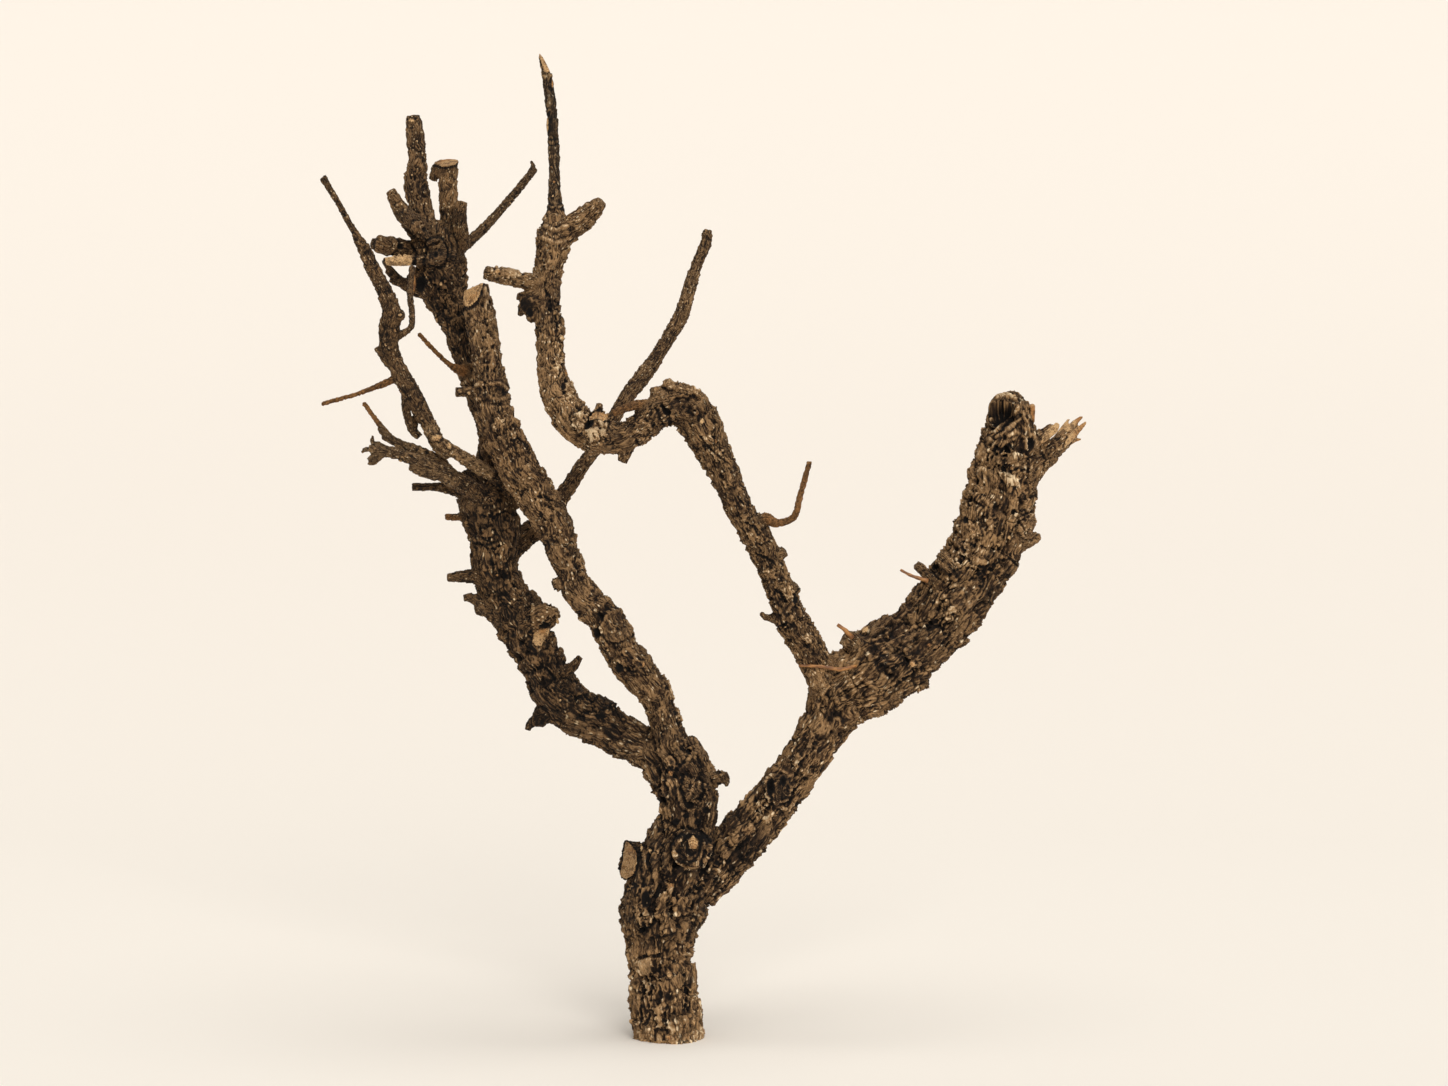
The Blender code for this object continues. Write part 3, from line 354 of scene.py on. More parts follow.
# Spurs that are bare orange-brown shoots: node and row, and how strongly
SHOOTS = {
    ("head_stem", 0): 1.0,
    ("lower_branch", 4): 1.0,
    ("arch_limb", 0): 0.75,
    ("arch_limb", 7): 0.6,
    ("left_twig", 2): 0.8,
    ("left_limb", 3): 0.7,
}

# Flat plates of bark drawn on the skin's front, by node: how far each is lifted, how much lighter and how
# bare it is, and its corners as seen from in front
PLATES = {
    "trunk": [
        (0.5, 0.25, 0, [(-4, 50.7), (-1.1, 52.1), (0.3, 49.2), (0, 44.9), (-3.6, 44.1)]),
        (0.5, 0.3, 0, [(1.8, 49.9), (5, 51.4), (8.7, 48.5), (7.6, 44.5), (1.8, 44.5)]),
        (0.5, 0.2, 0, [(-1.8, 43.4), (2.2, 43.4), (3.2, 40.2), (0.3, 37.6), (-2.2, 39.8)]),
        (0.5, 0.1, 0, [(3.6, 43.1), (7.6, 43.4), (9.7, 40.5), (6.1, 37.3), (4, 39.1)]),
        (0.6, 0.5, 0.8, [(-12, 46.7), (-10.5, 48.5), (-8.7, 40.2), (-9.8, 38.7)]),
        (0.6, 0.5, 0.7, [(-8.7, 47.4), (-7.3, 49.2), (-5.4, 41.6), (-6.9, 39.8)]),
        (0.7, 0.4, 0.75, [(-10.1, 27.1), (-7.6, 29), (-5.1, 27.1), (-4.7, 22.4), (-8, 21.4), (-9.8, 23.2)]),
        (0.5, 0.5, 0.7, [(-8.3, 20.6), (-6.2, 21), (-6.5, 14.8), (-7.6, 14.5)]),
        (0.6, 0.4, 0.7, [(-5.1, 10.1), (-2.5, 12), (-1.5, 8.7), (-2.2, 3.3), (-4, 2.9), (-4.4, 7.3)]),
        (0.8, 0.6, 0.9, [(-1.5, 56.4), (0.3, 57.5), (2.9, 54.3), (1.8, 52.1), (-0.4, 53.9)]),
        (0.5, 0.1, 0, [(9.4, 47.8), (13, 49.6), (15.2, 45.6), (12.3, 42), (9.4, 43.1)]),
        (0.5, 0.2, 0, [(11.9, 55.4), (15.9, 59), (18.1, 55), (14.4, 51)]),
        (0.5, 0.3, 0, [(17.7, 60.4), (21, 64), (23.5, 60.8), (20.2, 56.4)]),
        (0.5, 0.3, 0, [(21.7, 72), (24.9, 74.2), (26.7, 70.2), (23.9, 66.6)]),
        (0.5, 0.2, 0, [(25.7, 68), (28.9, 71.3), (30.7, 67.7), (27.8, 63.7)]),
        (0.5, 0.35, 0.3, [(18.1, 67.3), (21, 69.1), (23.1, 65.5), (20.2, 62.6)]),
        (0.5, 0.4, 0.3, [(27.5, 74.9), (30, 77.4), (32.2, 74.9), (29.6, 72)]),
        (0.7, 0.3, 0.2, [(-1.1, 100.9), (1.4, 102), (3.2, 99.5), (2.9, 96.6), (0.7, 98)]),
        (0.5, 0.5, 0.6, [(2.5, 119.4), (5, 120.5), (6.9, 116.1), (5.4, 113.2), (3.6, 115.4)]),
        (0.6, 0.1, 0, [(8.3, 98.8), (11.9, 99.1), (12.6, 95.9), (10.1, 93.3), (7.9, 95.1)]),
        (0.6, 0.1, 0, [(16.3, 93.7), (18.4, 95.9), (19.9, 93.7), (17.7, 90.4)]),
    ],
    "right_limb": [
        (0.5, 0.3, 0.2, [(31.8, 84.3), (34.7, 86.8), (36.5, 83.9), (33.6, 81)]),
        (0.5, 0.3, 0.2, [(34, 80), (37.6, 83.6), (39.8, 80.3), (36.2, 76.7)]),
        (0.5, 0.2, 0, [(40.9, 82.5), (45.2, 85.7), (47, 82.8), (43, 79.2)]),
        (0.5, 0.4, 0.3, [(44.1, 99.5), (47, 103.1), (49.2, 100.9), (46.3, 97)]),
        (0.5, 0.2, 0, [(48.1, 95.9), (51.3, 99.1), (52.8, 96.2), (49.5, 93)]),
        (0.5, 0.1, 0, [(49.2, 106.7), (52.1, 110.7), (54.6, 108.5), (51.7, 104.5)]),
    ],
    "right_arm": [
        (0.9, 0.1, 0, [(65.8, 127.7), (69.1, 130.2), (73.8, 127.7), (72.7, 124.8), (68.3, 125.2)]),
        (0.7, 0.5, 0.4, [(68.7, 123), (71.2, 124.4), (72.7, 123), (70.2, 121.9)]),
        (0.9, 0.1, 0, [(89, 130.6), (91.5, 133.1), (94.4, 131.7), (94, 126.3), (90.4, 124.8)]),
        (0.5, 0.3, 0.2, [(105.2, 178), (109.6, 176.5), (108.9, 172.9), (104.5, 174.4)]),
        (0.5, 0.3, 0.3, [(108.9, 185.2), (112.8, 186.7), (113.9, 182), (110.3, 180.5)]),
        (0.5, 0.3, 0.2, [(114.6, 187), (117.9, 188.8), (119.7, 185.6), (116.4, 183)]),
        (0.6, 0.5, 0.55, [(119.7, 205.1), (124, 203.7), (128, 201.8), (127.3, 199), (121.5, 200)]),
        (0.5, 0.2, 0, [(123.3, 213.4), (127.7, 212.3), (127.3, 205.8), (122.6, 206.9)]),
        (0.5, 0.1, 0, [(119, 212.3), (121.9, 213.4), (122.2, 207.3), (119.3, 206.5)]),
        (0.5, 0.3, 0.2, [(128.4, 208), (131.6, 208.7), (132.7, 203.7), (129.5, 202.6)]),
        (0.6, 0.3, 0.2, [(99.4, 153.4), (103.4, 155.9), (104.9, 153.4), (101.3, 150.5)]),
        (0.6, 0.1, 0, [(72, 138.2), (77, 140), (78.8, 135.3), (74.1, 133.5)]),
        (0.5, 0.2, 0, [(95.1, 159.5), (99.8, 162.4), (101.3, 159.2), (96.9, 156.6)]),
        (0.5, 0.2, 0, [(108.5, 164.2), (112.5, 167.5), (114.3, 164.2), (110.7, 161)]),
        (0.5, 0.1, 0, [(116.8, 168.6), (120.4, 171.5), (121.9, 167.8), (118.6, 165.3)]),
        (0.7, 0.3, 0.3, [(128.4, 194.3), (132.4, 195.3), (133.4, 191.4), (129.8, 189.9)]),
    ],
    "arch_limb": [
        (0.5, 0.4, 0.4, [(48.8, 144.7), (50.3, 145.8), (52.4, 143.3), (51.3, 141.8), (49.5, 142.9)]),
        (0.5, 0.2, 0, [(44.5, 152.3), (47.4, 155.5), (49.2, 152.3), (46.3, 149)]),
        (0.5, 0.3, 0.2, [(41.2, 161.7), (44.1, 163.9), (45.6, 160.3), (42.7, 158.1)]),
        (0.6, 0.2, 0.1, [(-1.5, 236.6), (0.7, 237.7), (3.6, 236.2), (2.2, 234), (-0.7, 234.4)]),
        (0.6, 0.3, 0.2, [(6.9, 233.7), (9, 235.1), (11.6, 234), (10.5, 231.9), (7.6, 231.9)]),
        (0.5, 0.3, 0.2, [(13, 216.7), (16.3, 218.1), (17.3, 214.5), (14.1, 213.1)]),
        (0.5, 0.3, 0.1, [(16.3, 211.6), (19.5, 213.1), (21.3, 208.7), (17.7, 207.6)]),
        (0.5, 0.4, 0.4, [(-12.3, 221.7), (-8.7, 223.2), (-5.4, 221.4), (-6.5, 218.1), (-11.2, 218.1)]),
        (0.5, 0.2, 0.1, [(-9.4, 217), (-6.2, 217.4), (-5.4, 214.9), (-8.7, 214.5)]),
        (0.5, 0.2, 0.1, [(19.9, 203.3), (22.8, 205.1), (24.2, 200.8), (21.3, 199.3)]),
        (0.5, 0.2, 0.1, [(25.7, 190.6), (28.6, 192.4), (30, 188.5), (27.1, 186.7)]),
        (0.5, 0.2, 0.1, [(28.9, 182), (31.8, 183.8), (33.6, 179.4), (30.4, 178)]),
        (0.5, 0.2, 0.1, [(35.4, 168.9), (38.3, 170.4), (39.8, 166.4), (36.9, 164.6)]),
    ],
    "arch_rise": [
        (0.9, 0.9, 0.6, [(-25.8, 226), (-22.8, 226.8), (-20.8, 221.4), (-24.3, 220.6)]),
        (0.9, 0.9, 0.6, [(-29.4, 220.2), (-25, 220.3), (-21.8, 219.8), (-22.4, 216.4), (-27.9, 216)]),
        (0.8, 0.4, 0.2, [(-33.8, 224.6), (-30, 226.2), (-29, 222.4), (-31.6, 218.6), (-34.4, 220.8)]),
        (0.6, 0.3, 0.1, [(-20, 215.8), (-17.6, 219.4), (-14.4, 216.8), (-16.6, 213.2)]),
        (0.6, 0.3, 0.5, [(-65.1, 276.7), (-60.4, 278.5), (-53.2, 278.5), (-52.8, 275.3), (-60.4, 274.2)]),
        (0.4, 0.2, 0.2, [(-40.2, 255.7), (-38, 260.1), (-36.2, 255.7), (-38.4, 250.3)]),
        (0.4, 0.2, 0.2, [(-41.3, 244.9), (-39.4, 248.5), (-37.6, 244.2), (-39.4, 239.8)]),
        (0.4, 0.2, 0.1, [(-37.6, 234.8), (-35.5, 237.7), (-33.3, 233.7), (-35.5, 229.7)]),
        (0.4, 0.2, 0.1, [(-44.9, 281.1), (-42.7, 284), (-41.3, 279.6), (-43.4, 275.6)]),
    ],
    "left_limb": [
        (1, 0.5, 0.65, [
            (-49.2, 155.5), (-44.9, 156.3), (-39.8, 154.5), (-39.1, 151.6), (-43.1, 151.9), (-47.4, 146.9),
            (-49.2, 150.1),
        ]),
        (0.9, -0.2, 0, [
            (-27.1, 121.2), (-24.3, 123.4), (-19.9, 123), (-18.5, 120.1), (-22.1, 117.6), (-26.1, 117.9),
        ]),
        (0.6, 0.1, 0, [(-40.2, 139.3), (-37.3, 141.1), (-35.8, 137.5), (-38.7, 135.3)]),
        (0.5, 0.1, 0, [(-59.7, 158.8), (-56.1, 161.7), (-54.3, 158.1), (-57.9, 154.8)]),
        (0.5, 0.2, 0.1, [(-63.3, 172.5), (-59.7, 175.1), (-58.3, 171.1), (-61.9, 168.6)]),
        (0.5, 0.2, 0.1, [(-67.3, 183.4), (-64, 185.6), (-62.6, 182), (-65.8, 179.4)]),
        (0.5, 0.1, 0, [(-64.8, 196.4), (-61.5, 199), (-60.1, 195), (-63.3, 192.4)]),
    ],
    "mid_stem": [
        (0.7, 0.2, 0.1, [(-40.9, 165.3), (-38.7, 166.4), (-37.6, 162.8), (-39.8, 161)]),
        (0.5, 0.4, 0.6, [(0, 128.4), (1.8, 129.1), (3.2, 124.4), (1.8, 121.9), (0.3, 123.7)]),
        (0.5, 0.2, 0.1, [(-53.2, 205.1), (-50.7, 207.6), (-48.8, 203.7), (-51.4, 200.8)]),
        (0.5, 0.2, 0.1, [(-45.6, 189.9), (-43.1, 192.4), (-41.3, 188.1), (-43.8, 185.2)]),
        (0.5, 0.3, 0.2, [(-63.3, 223.2), (-60.8, 225.4), (-59.3, 221.4), (-61.9, 218.8)]),
        (0.5, 0.2, 0.1, [(-33.3, 172.5), (-30.4, 175.1), (-28.6, 171.5), (-31.5, 168.6)]),
        (0.4, 0.2, 0.2, [(-66.2, 252.1), (-64.4, 255.4), (-62.6, 251.4), (-64.4, 247.8)]),
    ],
    "head_stem": [
        (0.5, 0.4, 0.7, [(-101.7, 282.1), (-94.4, 282.5), (-94.1, 280), (-100.9, 279.6)]),
        (0.5, 0.3, 0.5, [(-92.3, 293.4), (-90.1, 295.9), (-87.9, 292.6), (-89.4, 289.4), (-91.9, 289.7)]),
        (0.5, 0.1, 0, [(-87.9, 280.3), (-85, 281.8), (-83.6, 278.2), (-86.5, 275.6)]),
        (0.5, 0.1, 0, [(-81, 278.2), (-78.1, 279.3), (-77.8, 274.5), (-80.3, 272.7)]),
        (0.4, 0.1, 0, [(-83.6, 266.6), (-81, 268), (-80.3, 263.7), (-82.8, 261.9)]),
    ],
}

# Cracks, painted dark as dark bark and as shade in their depth: how deep, how wide, and the line
CRACKS = {
    "trunk": [
        (0.8, 0.5, [(-11.2, 27.9), (-7.6, 29.3), (-2.5, 29), (2.2, 27.5)]),
        (0.9, 0.6, [(-5.8, 69.5), (-6.9, 64), (-5.4, 57.5), (-6.2, 52.1)]),
        (0.9, 0.6, [(-1.8, 70.5), (-2.2, 64), (-1.1, 58.3)]),
        (0.8, 0.5, [(-9.4, 61.9), (-8.7, 55.4), (-10.9, 51)]),
        (0.8, 0.6, [(-9.8, 38), (-6.2, 40.2), (-4.4, 43.4)]),
        (0.9, 0.6, [(14.1, 62.2), (10.8, 55.4), (6.9, 51)]),
        (0.9, 0.6, [(17.7, 70.5), (14.8, 64.8), (13.7, 56.8)]),
        (1, 0.7, [(2.9, 74.2), (1.4, 68.4), (3.2, 62.6)]),
        (1, 0.6, [(-6.2, 85.7), (-2.5, 80.3), (-1.1, 74.2)]),
        (0.9, 0.5, [(1.4, 74.2), (7.6, 76.3), (13.7, 73.8), (16.3, 69.1)]),
        (0.8, 0.5, [(-8.7, 18.8), (-9.4, 11.6), (-10.1, 2.5)]),
        (0.8, 0.45, [(-5.4, 18.8), (-5.8, 13.4), (-7.6, 8), (-6.9, 3.3)]),
        (0.7, 0.45, [(0, 11.6), (-1.1, 6.2), (0.3, 0.7)]),
        (0.7, 0.45, [(6.5, 22.4), (7.6, 15.2), (6.1, 8)]),
        (0.7, 0.45, [(-2.5, 25.7), (-2.9, 18.8), (-1.8, 13.4)]),
        (1, 0.6, [(5.8, 94.4), (5, 89.4), (6.9, 85), (10.5, 83.6)]),
        (1, 0.6, [(11.9, 93.7), (13.4, 89.4), (11.9, 85.7)]),
        (0.9, 0.6, [(-3.6, 97.3), (-2.5, 93), (-2.9, 87.5), (-1.1, 82.8)]),
        (0.9, 0.6, [(3.2, 96.6), (6.1, 99.5), (8.3, 103.8)]),
        (0.9, 0.5, [(19.9, 64.8), (16.3, 61.1), (13.4, 55.4), (9.7, 51.7)]),
        (0.9, 0.5, [(17.3, 50.3), (21.7, 55.4), (24.9, 59)]),
    ],
    "right_limb": [
        (1.1, 0.8, [(37.6, 93.3), (36.9, 89.4), (38, 85), (35.4, 80.3)]),
        (0.9, 0.5, [(41.2, 85.7), (45.6, 87.9), (48.4, 91.9)]),
        (0.8, 0.5, [(28.2, 77.8), (32.5, 81.4), (36.5, 86.5)]),
        (0.8, 0.5, [(46.3, 94.4), (49.2, 100.2), (53.5, 104.5)]),
    ],
    "right_arm": [
        (1.1, 0.6, [(86.1, 145.8), (90, 147.6), (96.2, 150.1), (101.6, 152.3), (105.2, 153.7)]),
        (1, 0.5, [(81.4, 133.1), (84.6, 135.3), (87.9, 136.7)]),
        (1, 0.5, [(64.7, 127.7), (69.1, 131.3), (74.1, 129.1), (77, 125.5)]),
        (1, 0.6, [(73.4, 121.9), (78.5, 125.5), (84.3, 127.7), (89.3, 132)]),
        (0.9, 0.5, [(101.6, 161), (102.3, 167.1), (106.7, 170.4), (111.4, 168.9)]),
        (1, 0.5, [(104.2, 172.2), (111.4, 168.9), (116.8, 168.6)]),
        (1, 0.5, [(116.8, 168.6), (120.4, 172.5), (125.1, 172.9), (127.7, 169.7)]),
        (0.8, 0.45, [(107, 179.4), (111.7, 178), (118.3, 176.5)]),
        (0.8, 0.45, [(106.7, 176.9), (111, 174.4), (116.1, 172.5)]),
        (0.8, 0.45, [(106, 174), (110.3, 171.1), (114.6, 169.7)]),
        (0.9, 0.5, [(122.6, 213.4), (121.5, 206.9), (121.2, 200.8)]),
        (0.9, 0.5, [(130.9, 216), (130.9, 208), (129.8, 200.4)]),
        (0.9, 0.5, [(125.9, 216), (123, 212.3), (120.4, 208)]),
        (0.9, 0.5, [(115.7, 208.7), (120.4, 211.6), (125.1, 215.6)]),
        (0.9, 0.5, [(134.9, 213.4), (136.7, 209.4), (136.3, 205.1)]),
        (0.8, 0.45, [(126.9, 186.3), (131.3, 188.5), (133.4, 194.3)]),
        (0.9, 0.5, [(129.8, 181.6), (127.7, 187), (124.8, 183.4)]),
        (0.9, 0.5, [(106, 192.4), (111, 194.3), (115, 191.4)]),
        (0.9, 0.5, [(112.5, 201.5), (110.3, 197.1), (108.9, 192.4)]),
        (0.8, 0.5, [(93.3, 172.5), (95.8, 168.2), (100.5, 164.6)]),
        (0.9, 0.6, [(64, 140), (66.9, 134.2), (65.1, 130.6)]),
        (0.8, 0.45, [(69.8, 114.7), (74.1, 119), (78.5, 120.8)]),
        (0.8, 0.45, [(96.9, 140), (100.5, 142.9), (104.2, 148)]),
    ],
    "arch_limb": [
        (0.9, 0.5, [(40.1, 148), (43.4, 150.1), (46.3, 148.3)]),
        (0.9, 0.5, [(37.2, 158.1), (39.4, 161.7), (43, 157.4)]),
        (1, 0.6, [(12.3, 217.4), (15.2, 212.7), (18.1, 210.5), (22.4, 207.6)]),
        (0.9, 0.5, [(-4.4, 227.5), (-2.2, 223.2), (-1.1, 219.9)]),
        (0.9, 0.5, [(-2.2, 229.3), (0.7, 225.4), (1.4, 221.7)]),
        (0.8, 0.45, [(-12.3, 217.4), (-8, 213.8), (-3.3, 213.4)]),
        (0.8, 0.45, [(-11.2, 215.6), (-8, 212), (-4.4, 211.6)]),
        (0.9, 0.5, [(28.2, 185.9), (32.2, 184.5), (35.4, 180.5)]),
        (0.9, 0.5, [(31.8, 175.1), (35.1, 173.3), (39.4, 171.5)]),
    ],
    "arch_rise": [
        (1.4, 1, [(-27.5, 226.7), (-27.5, 223.2), (-29.2, 220.3)]),
        (0.7, 0.4, [(-25, 219.8), (-24.6, 216.6)]),
        (0.7, 0.4, [(-27.2, 220), (-26.6, 216.8)]),
        (0.7, 0.4, [(-23.6, 226), (-23, 221.6)]),
        (0.9, 0.5, [(-38.7, 266.6), (-40.2, 260.8), (-39.8, 255.7)]),
        (0.9, 0.5, [(-34.7, 241.3), (-37.6, 235.8), (-36.5, 230.4)]),
        (0.9, 0.5, [(-44.1, 270.2), (-42, 266.6), (-42.7, 261.2)]),
        (0.8, 0.45, [(-33.3, 228.6), (-30.4, 226.1), (-29.3, 221.4)]),
    ],
    "left_limb": [
        (1.1, 0.6, [(-48.1, 132.8), (-45.6, 133.8), (-42.7, 132.8), (-40.5, 129.9)]),
        (1, 0.6, [(-49.9, 146.5), (-46, 145.1), (-41.3, 147.2)]),
        (1, 0.5, [(-33.7, 121.9), (-30, 124.1), (-27.1, 121.2)]),
        (0.9, 0.5, [(-59.3, 168.9), (-56.8, 164.2), (-53.2, 161.7)]),
        (0.9, 0.5, [(-67.7, 178), (-64, 176.5), (-59.3, 178)]),
        (0.9, 0.5, [(-66.9, 188.8), (-62.6, 188.1), (-58.6, 190.3)]),
    ],
    "mid_stem": [
        (1, 0.6, [(-26.8, 143.6), (-25, 147.2), (-23.2, 151.6)]),
        (0.9, 0.5, [(-18.8, 136.4), (-15.6, 133.5), (-12, 132)]),
        (0.9, 0.5, [(-47.8, 194.3), (-45.2, 196.1), (-41.3, 194.3)]),
        (0.9, 0.5, [(-56.8, 216), (-53.5, 216.7), (-49.6, 214.1)]),
        (0.8, 0.45, [(-65.1, 244.2), (-64.8, 239.5), (-66.2, 234.8)]),
        (0.9, 0.5, [(-37.3, 176.9), (-34.4, 179.4), (-30.8, 177.6)]),
    ],
    "head_stem": [
        (1.1, 0.7, [(-92.3, 286.8), (-90.8, 282.5), (-91.9, 277.4)]),
        (1, 0.5, [(-87.5, 288.3), (-86.8, 284.7), (-88.3, 280.3)]),
        (1, 0.5, [(-80, 288.3), (-78.9, 284), (-80, 279.6)]),
        (0.9, 0.5, [(-85.7, 273.8), (-83.6, 270.9), (-80, 270.2)]),
    ],
}

# Raised lips, wrinkles and ribs: how much lighter, how high, how wide, and the line
RIBS = {
    "trunk": [
        (0.8, 0.5, 0.55, [(5.4, 71.9), (3, 68.4), (3, 64.6), (6.9, 61.2), (11, 63), (12.6, 66.6), (13, 71)]),
        (0.6, 0.4, 0.45, [(6.6, 70.4), (5.8, 66.8), (8.2, 64.4), (10.8, 66.2), (11, 69.4)]),
        (0.5, 0.5, 0.6, [(-8.7, 68.4), (-8, 63.3), (-9.4, 56.8)]),
        (0.3, 0.5, 0.7, [(-4, 69.8), (-4.4, 63.3), (-3.6, 56.8), (-4.4, 53.2)]),
        (0.4, 0.5, 0.6, [(0.3, 69.1), (0, 64), (1.4, 59)]),
        (0.7, 0.5, 0.5, [(13.4, 71.3), (14.4, 66.9), (13, 62.6)]),
        (0.6, 0.6, 0.6, [(-1.5, 95.9), (-2.2, 91.2), (0, 86.8)]),
        (0.6, 0.6, 0.6, [(7.2, 86.1), (9.4, 89.7), (9.7, 93)]),
        (0.4, 0.5, 0.6, [(14.1, 89.4), (15.9, 86.1), (14.8, 83.6)]),
        (0.4, 0.5, 0.6, [(3.2, 89.4), (6.1, 82.8), (10.8, 81.4)]),
        (0.4, 0.5, 0.6, [(18.1, 50.3), (22, 53.9), (25.3, 57.5)]),
        (0.3, 0.5, 0.6, [(12.3, 51.4), (15.9, 56.1), (18.8, 61.1)]),
        (0.3, 0.4, 0.5, [(-7.6, 2.5), (-7.3, 8), (-5.8, 12.3)]),
        (0.5, 0.4, 0.5, [(-8, 13.4), (-7.3, 9.8), (-8.3, 5.4)]),
    ],
    "right_limb": [
        (0.5, 0.6, 0.6, [(35.1, 92.6), (36.9, 96.6), (40.9, 97.3), (45.2, 94.8)]),
        (0.5, 0.5, 0.6, [(39.4, 83.6), (43.7, 82.8), (47.4, 86.5)]),
        (0.4, 0.5, 0.6, [(30, 85.7), (34.7, 90.8), (39, 97.3)]),
    ],
    "right_arm": [
        (0.9, 0.4, 0.35, [(118.6, 227.4), (120.2, 224.6), (120.6, 221.8)]),
        (0.9, 0.4, 0.3, [(121.4, 228), (122, 225), (121.8, 222.4)]),
        (0.8, 0.9, 0.7, [(119.4, 231.6), (122.6, 232.4), (126, 231)]),
        (0.6, 0.8, 0.6, [(118.6, 219.4), (122.4, 221.4), (125.4, 224.6), (126.4, 228)]),
        (0.5, 0.7, 0.6, [(123, 217.4), (126.4, 219.4), (129.4, 217), (130.4, 212.6)]),
        (0.5, 0.7, 0.6, [(116.4, 212.4), (119.4, 215.4), (123.4, 215.8)]),
        (0.5, 0.7, 0.6, [(128.6, 226), (130.2, 222), (129.6, 218.6)]),
        (0.4, 0.5, 0.6, [(106, 175.4), (110.3, 172.9), (115.4, 171.1)]),
        (0.4, 0.5, 0.6, [(107, 178), (111.7, 176.2), (116.8, 174.7)]),
        (0.5, 0.7, 0.7, [(117.9, 218.8), (121.9, 221.7), (126.2, 225.4), (128, 228.3)]),
        (0.5, 0.6, 0.6, [(119.7, 217), (124, 220.3), (127.7, 223.9)]),
        (0.4, 0.7, 0.7, [(116.4, 216), (119, 213.8), (122.6, 214.5)]),
        (0.4, 0.6, 0.7, [(75.2, 143.6), (78.5, 139.3), (83.2, 136)]),
        (0.4, 0.6, 0.7, [(79.2, 145.8), (82.8, 141.4), (87.2, 139.3)]),
        (0.3, 0.5, 0.6, [(86.1, 143.6), (91.5, 145.8), (96.9, 148)]),
        (0.3, 0.5, 0.6, [(134.2, 226.8), (133.4, 221.7), (135.6, 217.4)]),
        (0.4, 0.5, 0.6, [(97.6, 172.5), (101.3, 169.7), (104.5, 165.3)]),
        (0.4, 0.5, 0.6, [(114.3, 195), (117.5, 192.1), (116.8, 188.5)]),
    ],
    "arch_limb": [
        (0.4, 0.5, 0.5, [(-2.9, 228.3), (-0.7, 223.9), (0.3, 220.3)]),
        (0.4, 0.5, 0.5, [(-0.7, 229.7), (1.8, 226.1), (2.9, 222.8)]),
        (0.4, 0.5, 0.6, [(43.4, 153.7), (46.3, 157.4), (48.1, 161)]),
        (0.4, 0.5, 0.5, [(39.4, 155.9), (41.6, 153.7), (42.3, 150.1)]),
    ],
    "arch_rise": [
        (0.5, 0.5, 0.5, [(-28.6, 214.1), (-25.3, 215.6), (-22.1, 213.8)]),
        (0.4, 0.6, 0.6, [(-44.1, 293.4), (-40.2, 291.9), (-36.2, 293.4)]),
        (0.4, 0.6, 0.6, [(-44.9, 289), (-40.2, 287.2), (-35.1, 289)]),
    ],
    "top_twig": [
        (0.6, 0.25, 0.5, [(-44.5, 324.1), (-41.6, 323.4), (-38.7, 324.1)]),
        (0.4, 0.3, 0.4, [(-43.8, 300.6), (-40.9, 299.9), (-38, 300.6)]),
        (0.4, 0.3, 0.4, [(-44.1, 298.1), (-40.9, 297.3), (-37.6, 298.1)]),
    ],
    "left_limb": [
        (0.5, 0.6, 0.6, [(-49.2, 145.8), (-46, 147.2), (-41.6, 146.1)]),
        (0.5, 0.5, 0.5, [(-48.8, 130.6), (-45.6, 131.3), (-42.3, 129.5)]),
        (0.4, 0.5, 0.6, [(-29.3, 116.1), (-24.3, 116.1), (-19.9, 118.7)]),
        (0.4, 0.5, 0.6, [(-68.7, 179.8), (-65.1, 179.1), (-61.5, 180.5)]),
    ],
    "mid_stem": [
        (0.5, 0.5, 0.5, [(-69.1, 235.5), (-66.9, 236.6), (-66.6, 232.6), (-68.4, 230.1)]),
        (0.5, 0.6, 0.6, [(-64, 236.2), (-60.4, 236.6), (-57.9, 234.4)]),
        (0.4, 0.5, 0.6, [(-64.4, 231.5), (-60.4, 230.4), (-57.5, 231.9)]),
        (0.6, 0.6, 0.6, [(-66.2, 270.9), (-64.8, 267.3), (-66.2, 263.3)]),
    ],
    "head_stem": [
        (0.5, 0.4, 0.4, [(-97.7, 301), (-96.2, 301.7), (-94.4, 299.9), (-95.1, 298.1)]),
        (0.3, 0.5, 0.5, [(-86.5, 287.2), (-84.7, 288.3), (-81.8, 287.6)]),
        (0.3, 0.5, 0.5, [(-77.8, 289.7), (-76.7, 286.1), (-77.4, 281.8)]),
    ],
}

